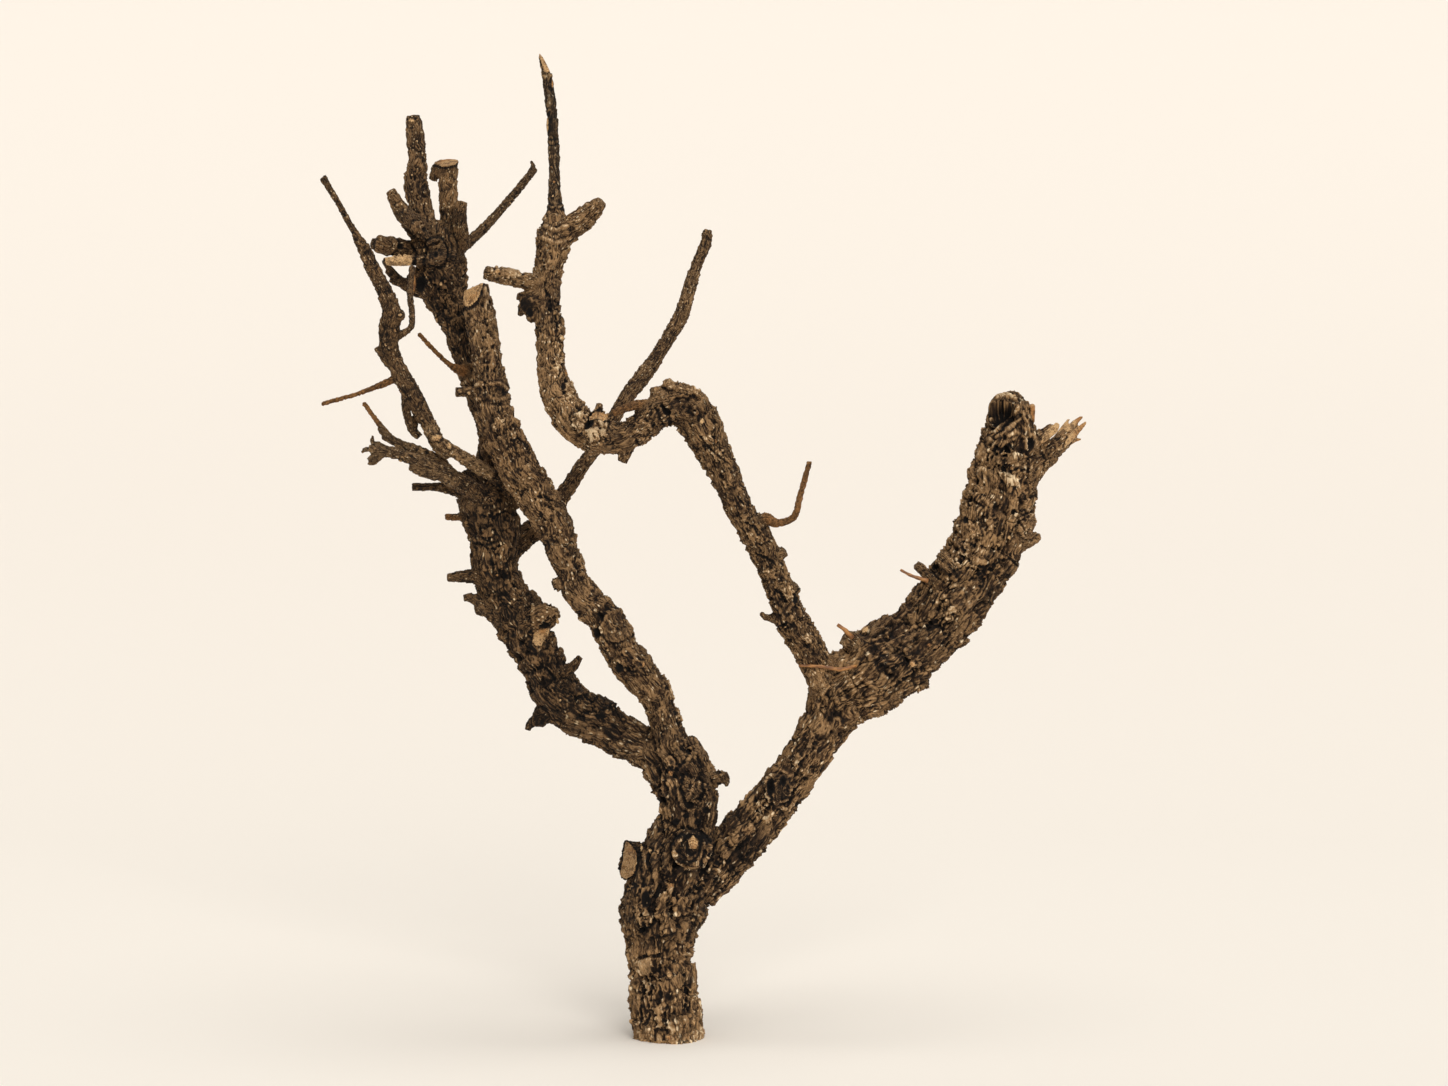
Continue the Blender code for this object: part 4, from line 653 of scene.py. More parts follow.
# Ringed knots: place, radius, number of rings, and how much lighter
KNOTS = {
    "trunk": [(9, 67.3, 5.8, 2.5, -0.1), (1.8, 91.9, 1.9, 1, 0.5)],
    "right_limb": [(40.5, 90.4, 4.6, 2, -0.7)],
    "right_arm": [
        (97.6, 145.1, 2.3, 1, 0.1), (130.9, 184.8, 3.4, 2, 0), (88.6, 134.9, 1.3, 1, 0.7),
        (91.9, 125.5, 2.2, 1, 0.1), (120.4, 158.1, 3, 2, -0.2), (105.2, 158.8, 2.6, 1, 0),
    ],
    "arch_limb": [(36.2, 141.4, 3, 1, -0.3), (23.9, 195.3, 2.2, 1, -0.1)],
    "arch_rise": [(-25.3, 212, 2.5, 2, 0.1), (-50.7, 264.8, 2.6, 1, -0.7), (-40.2, 270.2, 3.2, 2, -0.2)],
    "left_limb": [(-46, 115.4, 2.6, 1, -0.3), (-60.4, 187, 3, 2, -0.2), (-36.5, 125.5, 3, 2, -0.2)],
    "mid_stem": [(-18.1, 149, 5, 3.5, 0), (-67.3, 233.7, 2.6, 1, 0.1), (-44.1, 178, 2.6, 2, -0.1)],
    "head_stem": [(-83.6, 284, 3.6, 1.3, 0), (-84.7, 275.6, 2.6, 1.3, -0.2), (-101.6, 286.8, 3.4, 3, 0.25)],
    "left_twig": [(-100.2, 252.5, 2.6, 2, -0.1)],
    "lower_branch": [(-106.7, 212.7, 1.2, 1, 0.2)],
}

# Holes, painted dark inside as shade: place, half width, half height and depth
PITS = {
    "trunk": [
        (9.6, 70.5, 0.6, 0.6, 0.8), (8.3, 83.9, 1.6, 1.2, 1.4), (14.4, 82.1, 1.4, 1, 1.2),
        (-3.6, 83.6, 1.5, 2.2, 1.4), (-7.6, 49.6, 1.4, 3.2, 1.2), (3.2, 77.8, 1.4, 0.9, 1),
        (11.2, 77.8, 1.4, 0.9, 1), (6.9, 80, 1.2, 0.8, 0.9), (-16.2, 66, 0.5, 0.8, 0.5),
        (-15.6, 61.4, 0.4, 0.7, 0.5), (-14, 64, 0.4, 0.6, 0.4), (-14.6, 58.4, 0.4, 0.6, 0.4),
    ],
    "right_limb": [(37.6, 90.4, 1.3, 2.6, 1.6), (41.9, 92.6, 1, 1.6, 1)],
    "right_arm": [
        (65.4, 135.7, 1.7, 1.1, 2), (96.9, 170, 1.1, 1.1, 1.4), (62.6, 140, 1.6, 2, 1.6),
        (131.6, 214.9, 1.4, 2, 1.6), (108.1, 187, 0.9, 1.3, 1), (125.5, 189.9, 1, 1, 1),
    ],
    "arch_rise": [(-27.5, 223.2, 1.2, 2.6, 1.6), (-49.6, 261.9, 1, 1.4, 1)],
    "arch_limb": [(46.3, 158.1, 0.9, 1.4, 1)],
    "left_limb": [(-43.8, 149, 1.6, 0.9, 1.2), (-24.3, 116.1, 2, 0.8, 1)],
    "mid_stem": [(-25.3, 146.1, 1.4, 1.8, 1.2), (-17.4, 133.5, 1.3, 1.6, 1.2)],
    "head_stem": [(-89, 272.4, 1.7, 2.6, 2), (-83.6, 283.2, 0.7, 1, 1), (-96.6, 286.1, 1, 0.8, 0.8)],
    "right_prong": [(-82.1, 318.3, 0.9, 0.9, 1.2)],
}

# Pale spots where the wood shows: place, half width and half height
SPOTS = {
    "trunk": [
        (9.4, 70.2, 2, 2.4), (1.3, 95.3, 1.3, 1.1), (3.2, 56.8, 0.7, 0.7), (0.7, 22.8, 1.1, 1.5),
        (1.4, 15.6, 0.5, 0.9), (2.9, 13.4, 0.5, 1.1), (4.7, 14.8, 0.5, 0.9), (6.1, 12.7, 0.5, 1),
        (3.6, 9.8, 0.4, 1), (7.9, 11.6, 0.5, 1.1), (8.3, 17, 0.5, 0.9), (0.7, -0.3, 1.4, 0.9),
        (-9.4, 68.4, 0.5, 1.6), (-6.2, 67.3, 0.4, 1.4), (-3.3, 66.9, 0.5, 1), (9.4, 42.3, 0.6, 0.8),
        (-0.4, 38.7, 0.8, 0.7), (3.2, 32.9, 0.5, 0.9), (9.4, 5.4, 0.7, 1.4), (11.2, 9.1, 0.5, 1.2),
        (-5.1, 1.8, 0.6, 1),
    ],
    "right_limb": [
        (28.6, 73.4, 0.6, 0.5), (32.5, 79.2, 0.6, 0.9), (44.5, 89.4, 0.7, 0.6), (36.9, 74.9, 0.6, 0.5),
    ],
    "right_arm": [
        (71.6, 147.2, 1.5, 1.2), (88.6, 134.9, 1.1, 0.9), (121.9, 211.3, 0.9, 0.9), (124.8, 205.8, 0.6, 0.8),
        (115, 166.4, 0.7, 0.6), (110.3, 183, 1, 0.6), (123.7, 180.9, 0.7, 0.8), (119.7, 178, 0.8, 0.7),
        (133.1, 194.3, 0.9, 1.2), (105.2, 192.4, 0.6, 0.6), (100.9, 158.1, 0.8, 0.5), (94.7, 141.8, 0.8, 0.6),
        (121.2, 182, 0.6, 0.9),
    ],
    "arch_limb": [
        (12.6, 222.8, 0.9, 1.3), (10.8, 225.7, 0.7, 1), (42.7, 148.3, 0.7, 0.6), (40.9, 153.7, 0.6, 0.9),
        (30, 174, 0.6, 0.5), (17.7, 215.6, 0.6, 0.9), (58.2, 125.5, 0.7, 0.7),
    ],
    "arch_rise": [
        (-38.7, 248.5, 0.5, 1.1), (-36.5, 240.5, 0.5, 0.9), (-42.7, 277.4, 0.5, 1), (-61.5, 276.7, 0.9, 0.5),
        (-38.4, 252.8, 0.5, 0.8),
    ],
    "top_twig": [
        (-40.9, 309.3, 0.5, 0.6), (-41.6, 314.7, 0.6, 0.5), (-41.6, 344.7, 0.35, 1.6),
        (-43.1, 329.9, 0.4, 2.8), (-41.3, 304.2, 0.4, 0.5),
    ],
    "left_limb": [
        (-38.7, 121.9, 0.7, 0.5), (-61.5, 167.1, 0.6, 0.5), (-65.8, 191.7, 0.6, 0.5),
        (-41.6, 125.5, 0.5, 0.5),
    ],
    "mid_stem": [
        (-74.9, 233.7, 0.9, 0.8), (-71.6, 233, 0.8, 0.7), (-14.8, 152.7, 1, 0.9), (-21.4, 140, 0.6, 0.5),
        (-49.6, 198.2, 0.6, 0.5), (-60.4, 227.5, 0.5, 0.7), (-65.1, 258.6, 0.4, 0.9),
        (-38.7, 182.7, 0.6, 0.5), (-8.7, 134.6, 0.5, 0.9),
    ],
    "head_stem": [
        (-100.6, 280.3, 1.6, 0.7), (-87.9, 284.7, 0.5, 0.8), (-81.8, 272.4, 0.6, 0.8),
        (-83.2, 259.4, 0.5, 0.9),
    ],
    "left_prong": [
        (-92.4, 331.4, 1, 0.8), (-90.4, 324.1, 0.5, 0.5), (-91.9, 322.3, 0.4, 0.5), (-89.7, 320.8, 0.4, 0.4),
        (-92.3, 311.8, 0.5, 0.4), (-92.6, 308.5, 0.4, 0.5), (-92.3, 305.7, 0.5, 0.4),
    ],
    "head_twig": [(-56.8, 301.7, 0.5, 0.5)],
    "left_twig": [(-96.6, 261.2, 0.7, 0.7), (-101.7, 250.3, 0.5, 0.7), (-98.4, 255.7, 0.5, 0.7)],
    "upper_branch": [(-83.6, 216.7, 2, 1.1), (-78.9, 213.8, 0.9, 1)],
    "diagonal_twig": [(-9.8, 231.9, 0.4, 0.5), (0.3, 240.5, 0.4, 0.5), (8.3, 255.7, 0.4, 0.6)],
    "lower_branch": [(-85.7, 211.6, 0.9, 0.4), (-96.6, 208.4, 0.8, 0.4)],
}

# Broad tones: node, the heights between which they hold, and how much lighter the bark is there
TONES = [
    ("trunk", 0, 34, 0.04), ("trunk", 34, 76, -0.42), ("trunk", 76, 125, -0.36),
    ("right_limb", 70, 110, -0.03),
    ("right_arm", 110, 170, -0.27), ("arch_limb", 120, 230, -0.22),
    ("top_twig", 322, 347, -0.8), ("top_twig", 296, 322, -0.55), ("left_limb", 90, 215, -0.38),
    ("mid_stem", 90, 190, -0.2), ("mid_stem", 190, 280, -0.1), ("head_stem", 180, 300, -0.32),
    ("left_prong", 280, 340, -0.16), ("left_twig", 200, 320, -0.3), ("lower_branch", 180, 240, -0.3),
    ("diagonal_twig", 170, 300, -0.28), ("head_twig", 280, 330, -0.3), ("arch_rise", 255, 268, -0.3),
    ("arch_rise", 216, 254, 0.05), ("arch_rise", 270, 300, 0.03), ("left_limb", 95, 130, -0.05),
]

# Fingers of bark at the ends of twigs and on burls, from inside the wood to the tip
FINGERS = {
    "trunk": [
        [(18, 92.6, -6, 2.2), (21, 94.6, -7.4, 1.8), (21.6, 90.6, -8, 0.8)],
    ],
    "right_arm": [
        [(118, 221, 3, 1.2), (117.2, 227.6, 2, 1.1), (119, 231.6, 2.6, 0.8)],
    ],
    "head_twig": [
        [(-49.4, 312.4, 36.6, 1.4), (-48.4, 315.2, 38, 0.9), (-49.4, 316.8, 38.6, 0.5)],
    ],
    "lower_branch": [
        [(-104, 212, -31, 1.6), (-108.6, 212.6, -34, 1), (-110.6, 211.4, -35, 0.6)],
        [(-104, 212, -31, 1.4), (-106.6, 215.4, -33, 0.9), (-106.2, 217.4, -33, 0.6)],
        [(-103, 211, -31, 1.4), (-106, 207.6, -33, 0.9), (-108.6, 207.2, -34, 0.5)],
        [(-101, 217, -21, 1.3), (-104, 219.6, -23, 0.9), (-103, 221, -23, 0.6)],
    ],
    "arch_rise": [
        [(-49, 265, -17, 3), (-52.4, 263.4, -18, 2), (-53, 260.8, -18, 1)],
        [(-48, 264, -18, 2.6), (-49.4, 260.6, -19, 1.8), (-48.4, 258.6, -19, 1)],
        [(-50, 267, -17, 2.6), (-53.2, 268, -18, 1.6), (-53.8, 266.4, -18, 1)],
    ],
    "arch_limb": [
        [(36, 151.6, -8, 1.3), (34.4, 152.8, -8.6, 1), (34, 153.8, -8.6, 0.7)],
    ],
    "head_stem": [
        [(-101, 286.2, 10.6, 3.2), (-104.4, 286.8, 8.4, 3), (-106.4, 287.4, 7, 2.2)],
        [(-96, 299, 7, 3.2), (-93.6, 295.6, 3.6, 2.6), (-90.6, 291.6, 2.4, 1.6)],
        [(-91, 296.4, 6, 2), (-87.6, 290, 4, 1.8), (-84.4, 287, 4.6, 1.2)],
        [(-98, 274.6, 12, 1.8), (-101.4, 279.4, 10.6, 1.2), (-103, 281, 10, 0.8)],
        [(-94, 274.6, 12, 2.2), (-90, 272.6, 12, 2.4), (-86, 270, 12, 2)],
        [(-94, 272.6, 13, 1.8), (-98.4, 272.8, 11, 1), (-100.4, 274, 10.4, 0.7)],
    ],
    "left_limb": [
        [(-62, 152, 4, 3), (-69.6, 158.4, 4, 2), (-73.6, 158.8, 3.6, 1.4)],
        [(-46, 115.4, 6, 3), (-49.4, 113, 6, 1.8), (-50.6, 111, 6, 1)],
        [(-37, 131, 1, 2.6), (-33.4, 134.8, -1, 1.8), (-31.4, 137.6, -1, 1.2)],
    ],
    "top_twig": [
        [(-44.6, 350.6, 0, 1.3), (-45.6, 354, 0, 0.9), (-45.9, 356, 0, 0.5)],
    ],
}

# Each limb: stations, seed, depth for its width, and the node that it belongs to up to a station
LIMBS = [
    (TRUNK, 1, 1.0, [("trunk", None)]),
    (RIGHT_LIMB, 2, 0.76, [("trunk", 3), ("right_limb", 9), ("right_arm", None)]),
    (ARCH, 3, 1.0, [("right_limb", 2), ("arch_limb", 17), ("arch_rise", 30), ("top_twig", None)]),
    (LEFT_LIMB, 4, 1.2, [("trunk", 2), ("left_limb", None)]),
    (MID_STEM, 5, 1.12, [("trunk", 2), ("mid_stem", None)]),
    (HEAD_STEM, 6, 1.25, [("left_limb", 3), ("head_stem", None)]),
    (LEFT_PRONG, 7, 1.0, [("head_stem", 2), ("left_prong", None)]),
    (RIGHT_PRONG, 8, 1.0, [("head_stem", 2), ("right_prong", None)]),
    (HEAD_TWIG, 9, 1.0, [("head_stem", 1), ("head_twig", None)]),
    (DIAGONAL_TWIG, 10, 1.0, [("left_limb", 3), ("diagonal_twig", None)]),
    (LOWER_BRANCH, 11, 1.0, [("left_limb", 3), ("lower_branch", None)]),
    (UPPER_BRANCH, 12, 1.0, [("left_limb", 2), ("upper_branch", None)]),
    (LEFT_TWIG, 13, 1.0, [("upper_branch", 2), ("left_twig", None)]),
]

NODES = [
    "trunk", "right_limb", "right_arm", "arch_limb", "arch_rise", "top_twig", "left_limb", "mid_stem",
    "head_stem", "left_prong", "right_prong", "head_twig", "diagonal_twig", "lower_branch",
    "upper_branch", "left_twig",
]
GREY_NODES = ["top_twig", "lower_branch", "upper_branch"]
DARK_NODES = ["left_limb", "head_stem", "left_prong", "right_prong", "head_twig", "left_twig"]
SLOT_OF = dict.fromkeys(NODES, "brown_bark")
SLOT_OF |= dict.fromkeys(GREY_NODES, "grey_bark") | dict.fromkeys(DARK_NODES, "dark_bark")


# Objects and meshes


def placed(name, data):
    """A new object that is part of the scene."""
    thing = bpy.data.objects.new(name, data)
    bpy.context.scene.collection.objects.link(thing)
    return thing


def mesh_of(made, name):
    mesh = bpy.data.meshes.new(name)
    made.to_mesh(mesh)
    made.free()
    return mesh


def close_tube(made, rings):
    """Makes the faces between rings of points, and one at each end."""
    sides = len(rings[0])
    for lower, upper in zip(rings, rings[1:]):
        for k in range(sides):
            made.faces.new((lower[k], lower[(k + 1) % sides], upper[(k + 1) % sides], upper[k]))
    made.faces.new(tuple(reversed(rings[0])))
    made.faces.new(tuple(rings[-1]))


def plain_result(thing):
    """The object's mesh as its modifiers leave it, after which they are removed."""
    graph = bpy.context.evaluated_depsgraph_get()
    mesh = bpy.data.meshes.new_from_object(thing.evaluated_get(graph))
    thing.modifiers.clear()
    thing.data = mesh
    return mesh


def dress(piece, node):
    """Lets a piece stand for a node of the solids, hanging it on the root body and hiding that node's part.
    """
    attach(piece, "root")
    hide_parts(node)


# Limbs


def seen_to_real(station):
    """The true place and radius, in millimetres, of a station read from in front."""
    across, up, depth, radius = station
    nearer = (VIEW_DISTANCE + depth) / VIEW_DISTANCE
    place = (VIEW_ACROSS + (across - VIEW_ACROSS) * nearer, depth, VIEW_UP + (up - VIEW_UP) * nearer)
    return np.array([*place, radius * nearer])


def smooth_path(stations, step):
    """Points (x, y, z, radius) about step apart on a smooth curve through the stations."""
    known = np.array([seen_to_real(station) for station in stations])
    padded = np.vstack([2 * known[0] - known[1], known, 2 * known[-1] - known[-2]])
    points = []
    for before, start, end, after in zip(padded, padded[1:], padded[2:], padded[3:]):
        count = max(1, round(np.linalg.norm((end - start)[:3]) / step))
        for t in np.arange(count) / count:
            bend = (2 * before - 5 * start + 4 * end - after) * t**2
            twist = (3 * start - before - 3 * end + after) * t**3
            points.append(0.5 * (2 * start + (end - before) * t + bend + twist))
    points.append(known[-1])
    return np.array(points)


def lumps(distance, angles, seed):
    """How far the wood stands out around a limb, as a share of its radius: flutes, then ledges."""
    flutes = np.sin(3 * angles + seed + 0.05 * distance) + np.sin(5 * angles - 2 * seed - 0.09 * distance)
    ledge = (distance / 11 + 0.25 * np.sin(angles + seed)) % 1 - 0.5
    return FLUTE * flutes / 2 + LEDGE * ledge


class Limb:
    """A grown limb: its middle line, the axes across it, and the rings of its bare wood."""

    def __init__(self, stations, seed, depth, owners):
        path = smooth_path(stations, 1.2)
        self.places, self.radii = path[:, :3], path[:, 3]
        steps = np.gradient(self.places, axis=0)
        self.along = steps / np.linalg.norm(steps, axis=1)[:, None]
        self.far = np.concatenate([[0], np.cumsum(np.linalg.norm(np.diff(self.places, axis=0), axis=1))])
        middle = self.along.mean(axis=0)
        level = abs(middle[1]) < 0.8 * np.linalg.norm(middle)
        reference = np.array([0, 1, 0]) if level else np.array([0, 0, 1])
        first = np.cross(self.along, reference)
        self.first = first / np.linalg.norm(first, axis=1)[:, None]
        self.second = np.cross(self.first, self.along)
        self.seed, self.depth = seed, depth
        self.plate = min(1.15, (self.radii.mean() / PLATE_RADIUS) ** PLATE_POWER)
        ends = [self.far[-1] + 1 if last is None else self.far[self.at(stations[last])] for _, last in owners]
        self.owners = [(node, end) for (node, _), end in zip(owners, ends)]

    def at(self, station):
        return int(np.argmin(np.linalg.norm(self.places - seen_to_real(station)[:3], axis=1)))

    def tube(self):
        """Rings of points round the limb."""
        sides = int(np.clip(self.radii.max() * 3, 10, 32))
        angles = np.arange(sides) * 2 * math.pi / sides
        grown = self.radii[:, None] * (1 + lumps(self.far[:, None], angles[None, :], self.seed))
        across = (grown * np.cos(angles))[:, :, None] * self.first[:, None]
        deep = (self.depth * grown * np.sin(angles))[:, :, None] * self.second[:, None]
        return self.places[:, None] + across + deep


def add_plate(made, corners):
    """One flat plate of bark, set into the wood behind it."""
    outer = [seen_to_real((*corner, 0))[:3] for corner in corners]
    front = [made.verts.new(Vector(point * MM)) for point in outer]
    back = [made.verts.new(Vector((point + [0, PLATE_DEPTH, 0]) * MM)) for point in outer]
    for k in range(len(outer)):
        after = (k + 1) % len(outer)
        made.faces.new((front[after], front[k], back[k], back[after]))
    made.faces.new(front)
    made.faces.new(list(reversed(back)))


def wood_mesh(limbs):
    """All limbs as closed tubes that overlap, and the trunk's plates, in one mesh."""
    made = bmesh.new()
    for limb in limbs:
        close_tube(made, [[made.verts.new(Vector(point * MM)) for point in ring] for ring in limb.tube()])
    for corners in TRUNK_PLATES:
        add_plate(made, corners)
    bmesh.ops.recalc_face_normals(made, faces=made.faces)
    return mesh_of(made, "wood")


# The skin of the wood


def grown_together(limbs):
    """One skin over all limbs: its points in millimetres, and its four-sided faces."""
    thing = placed("wood", wood_mesh(limbs))
    remesh = thing.modifiers.new("skin", "REMESH")
    remesh.mode = "VOXEL"
    remesh.voxel_size = SKIN * MM
    mesh = plain_result(thing)
    points = np.empty(len(mesh.vertices) * 3)
    mesh.vertices.foreach_get("co", points)
    faces = np.empty(len(mesh.loops), int)
    mesh.loops.foreach_get("vertex_index", faces)
    bpy.data.objects.remove(thing)
    return points.reshape(-1, 3) / MM, faces.reshape(-1, 4)


def soften(points, faces, rounds):
    """Takes the steps out of the skin by moving each point towards its neighbours."""
    ends = np.vstack([faces[:, [k, (k + 1) % 4]] for k in range(4)])
    ends = np.vstack([ends, ends[:, ::-1]])
    count = np.bincount(ends[:, 0], minlength=len(points))[:, None]
    for _ in range(rounds):
        near = [np.bincount(ends[:, 0], points[ends[:, 1], axis], len(points)) for axis in range(3)]
        points = points + 0.5 * (np.stack(near, axis=1) / count - points)
    return points


def normals_of(points, faces):
    """The direction that the skin faces at each point."""
    flat = np.cross(points[faces[:, 2]] - points[faces[:, 0]], points[faces[:, 3]] - points[faces[:, 1]])
    sums = [np.bincount(faces.ravel(), np.repeat(flat[:, k], 4), len(points)) for k in range(3)]
    summed = np.stack(sums, axis=1)
    return summed / np.maximum(np.linalg.norm(summed, axis=1)[:, None], 1e-12)


def smoothstep(value, low, high):
    share = np.clip((value - low) / (high - low), 0, 1)
    return share * share * (3 - 2 * share)


class Bark:
    """What each point of the skin knows of the nearest limb (a) and the next nearest one (b)."""

    def __init__(self, points, limbs):
        count = len(points)
        self.limb = np.zeros((2, count), int)
        self.gap = np.full((2, count), 1e6)
        self.grain = np.zeros((2, count, 3))
        self.far = np.zeros((2, count))
        self.girth = np.ones((2, count))
        for number, limb in enumerate(limbs):
            self.measure(points, number, limb)
        self.fork = 0.5 * (1 - smoothstep(self.gap[1] - self.gap[0], 0, FORK_BLEND))

    def measure(self, points, number, limb):
        margin = limb.radii.max() * limb.depth + REACH
        low, high = limb.places.min(axis=0) - margin, limb.places.max(axis=0) + margin
        near = np.flatnonzero(((points > low) & (points < high)).all(axis=1))
        mine = points[near]
        square = (mine**2).sum(axis=1)[:, None] + (limb.places**2).sum(axis=1) - 2 * mine @ limb.places.T
        gaps = np.sqrt(np.maximum(square, 0)) - limb.radii
        best = gaps.argmin(axis=1)
        gap = gaps[np.arange(len(near)), best]
        offset = mine - limb.places[best]
        along = (offset * limb.along[best]).sum(axis=1)
        far = limb.far[best] + along
        across = (offset * limb.first[best]).sum(axis=1)
        deep = (offset * limb.second[best]).sum(axis=1)
        grain = np.stack([far + 61.0 * number, across, deep], axis=1) / limb.plate
        first = gap < self.gap[0, near]
        second = ~first & (gap < self.gap[1, near])
        for values in (self.limb, self.gap, self.grain, self.far, self.girth):
            values[1, near[first]] = values[0, near[first]]
        for rank, chosen in ((0, first), (1, second)):
            where = near[chosen]
            self.limb[rank, where] = number
            self.gap[rank, where] = gap[chosen]
            self.grain[rank, where] = grain[chosen]
            self.far[rank, where] = far[chosen]
            self.girth[rank, where] = limb.radii[best[chosen]]


def node_numbers(bark, limbs):
    """The number, in NODES, of the node that each point of the skin belongs to."""
    owner = np.zeros(len(bark.fork), int)
    for number, limb in enumerate(limbs):
        mine = bark.limb[0] == number
        start = -1e6
        for node, end in limb.owners:
            owner[mine & (bark.far[0] >= start) & (bark.far[0] < end)] = NODES.index(node)
            start = end
    return owner


def skin_object(name, points, faces, values):
    """A mesh object of three- or four-sided faces, with values at its points or corners."""
    mesh = bpy.data.meshes.new(name)
    sides = [len(group[0]) for group in faces for _ in group]
    corners = np.concatenate([np.asarray(group).ravel() for group in faces])
    mesh.vertices.add(len(points))
    mesh.vertices.foreach_set("co", (points * MM).astype(np.float32).ravel())
    mesh.loops.add(len(corners))
    mesh.loops.foreach_set("vertex_index", corners.astype(np.int32))
    mesh.polygons.add(len(sides))
    starts = np.concatenate([[0], np.cumsum(sides)[:-1]]).astype(np.int32)
    mesh.polygons.foreach_set("loop_start", starts)
    mesh.update(calc_edges=True)
    for key, value in values.items():
        domain = "POINT" if len(value) == len(points) else "CORNER"
        kind = "FLOAT" if value.ndim == 1 else "FLOAT_VECTOR"
        layer = mesh.attributes.new(key, kind, domain)
        layer.data.foreach_set("value" if kind == "FLOAT" else "vector", value.astype(np.float32).ravel())
    mesh.shade_smooth()
    return placed(name, mesh)


# Marks on the skin


def seen_places(points):
    """Where points of the skin stand in the front view, across and up."""
    nearer = (VIEW_DISTANCE + points[:, 1]) / VIEW_DISTANCE
    across = VIEW_ACROSS + (points[:, 0] - VIEW_ACROSS) / nearer
    return np.stack([across, VIEW_UP + (points[:, 2] - VIEW_UP) / nearer], axis=1)


def bell(value, width):
    return np.exp(-((value / width) ** 2))


def line_distance(places, line):
    """How far places are from a line of straight stretches."""
    best = np.full(len(places), 1e6)
    for start, end in zip(line, line[1:]):
        start, end = np.array(start), np.array(end)
        stretch = end - start
        share = np.clip((places - start) @ stretch / (stretch @ stretch), 0, 1)
        best = np.minimum(best, np.linalg.norm(places - start - share[:, None] * stretch, axis=1))
    return best


def inside_outline(places, corners):
    """Which places lie within a closed outline."""
    found = np.zeros(len(places), bool)
    for (x0, y0), (x1, y1) in zip(corners, corners[1:] + corners[:1]):
        if y0 == y1:
            continue
        crosses = (places[:, 1] < max(y0, y1)) & (places[:, 1] >= min(y0, y1))
        found ^= crosses & (places[:, 0] < x0 + (x1 - x0) * (places[:, 1] - y0) / (y1 - y0))
    return found


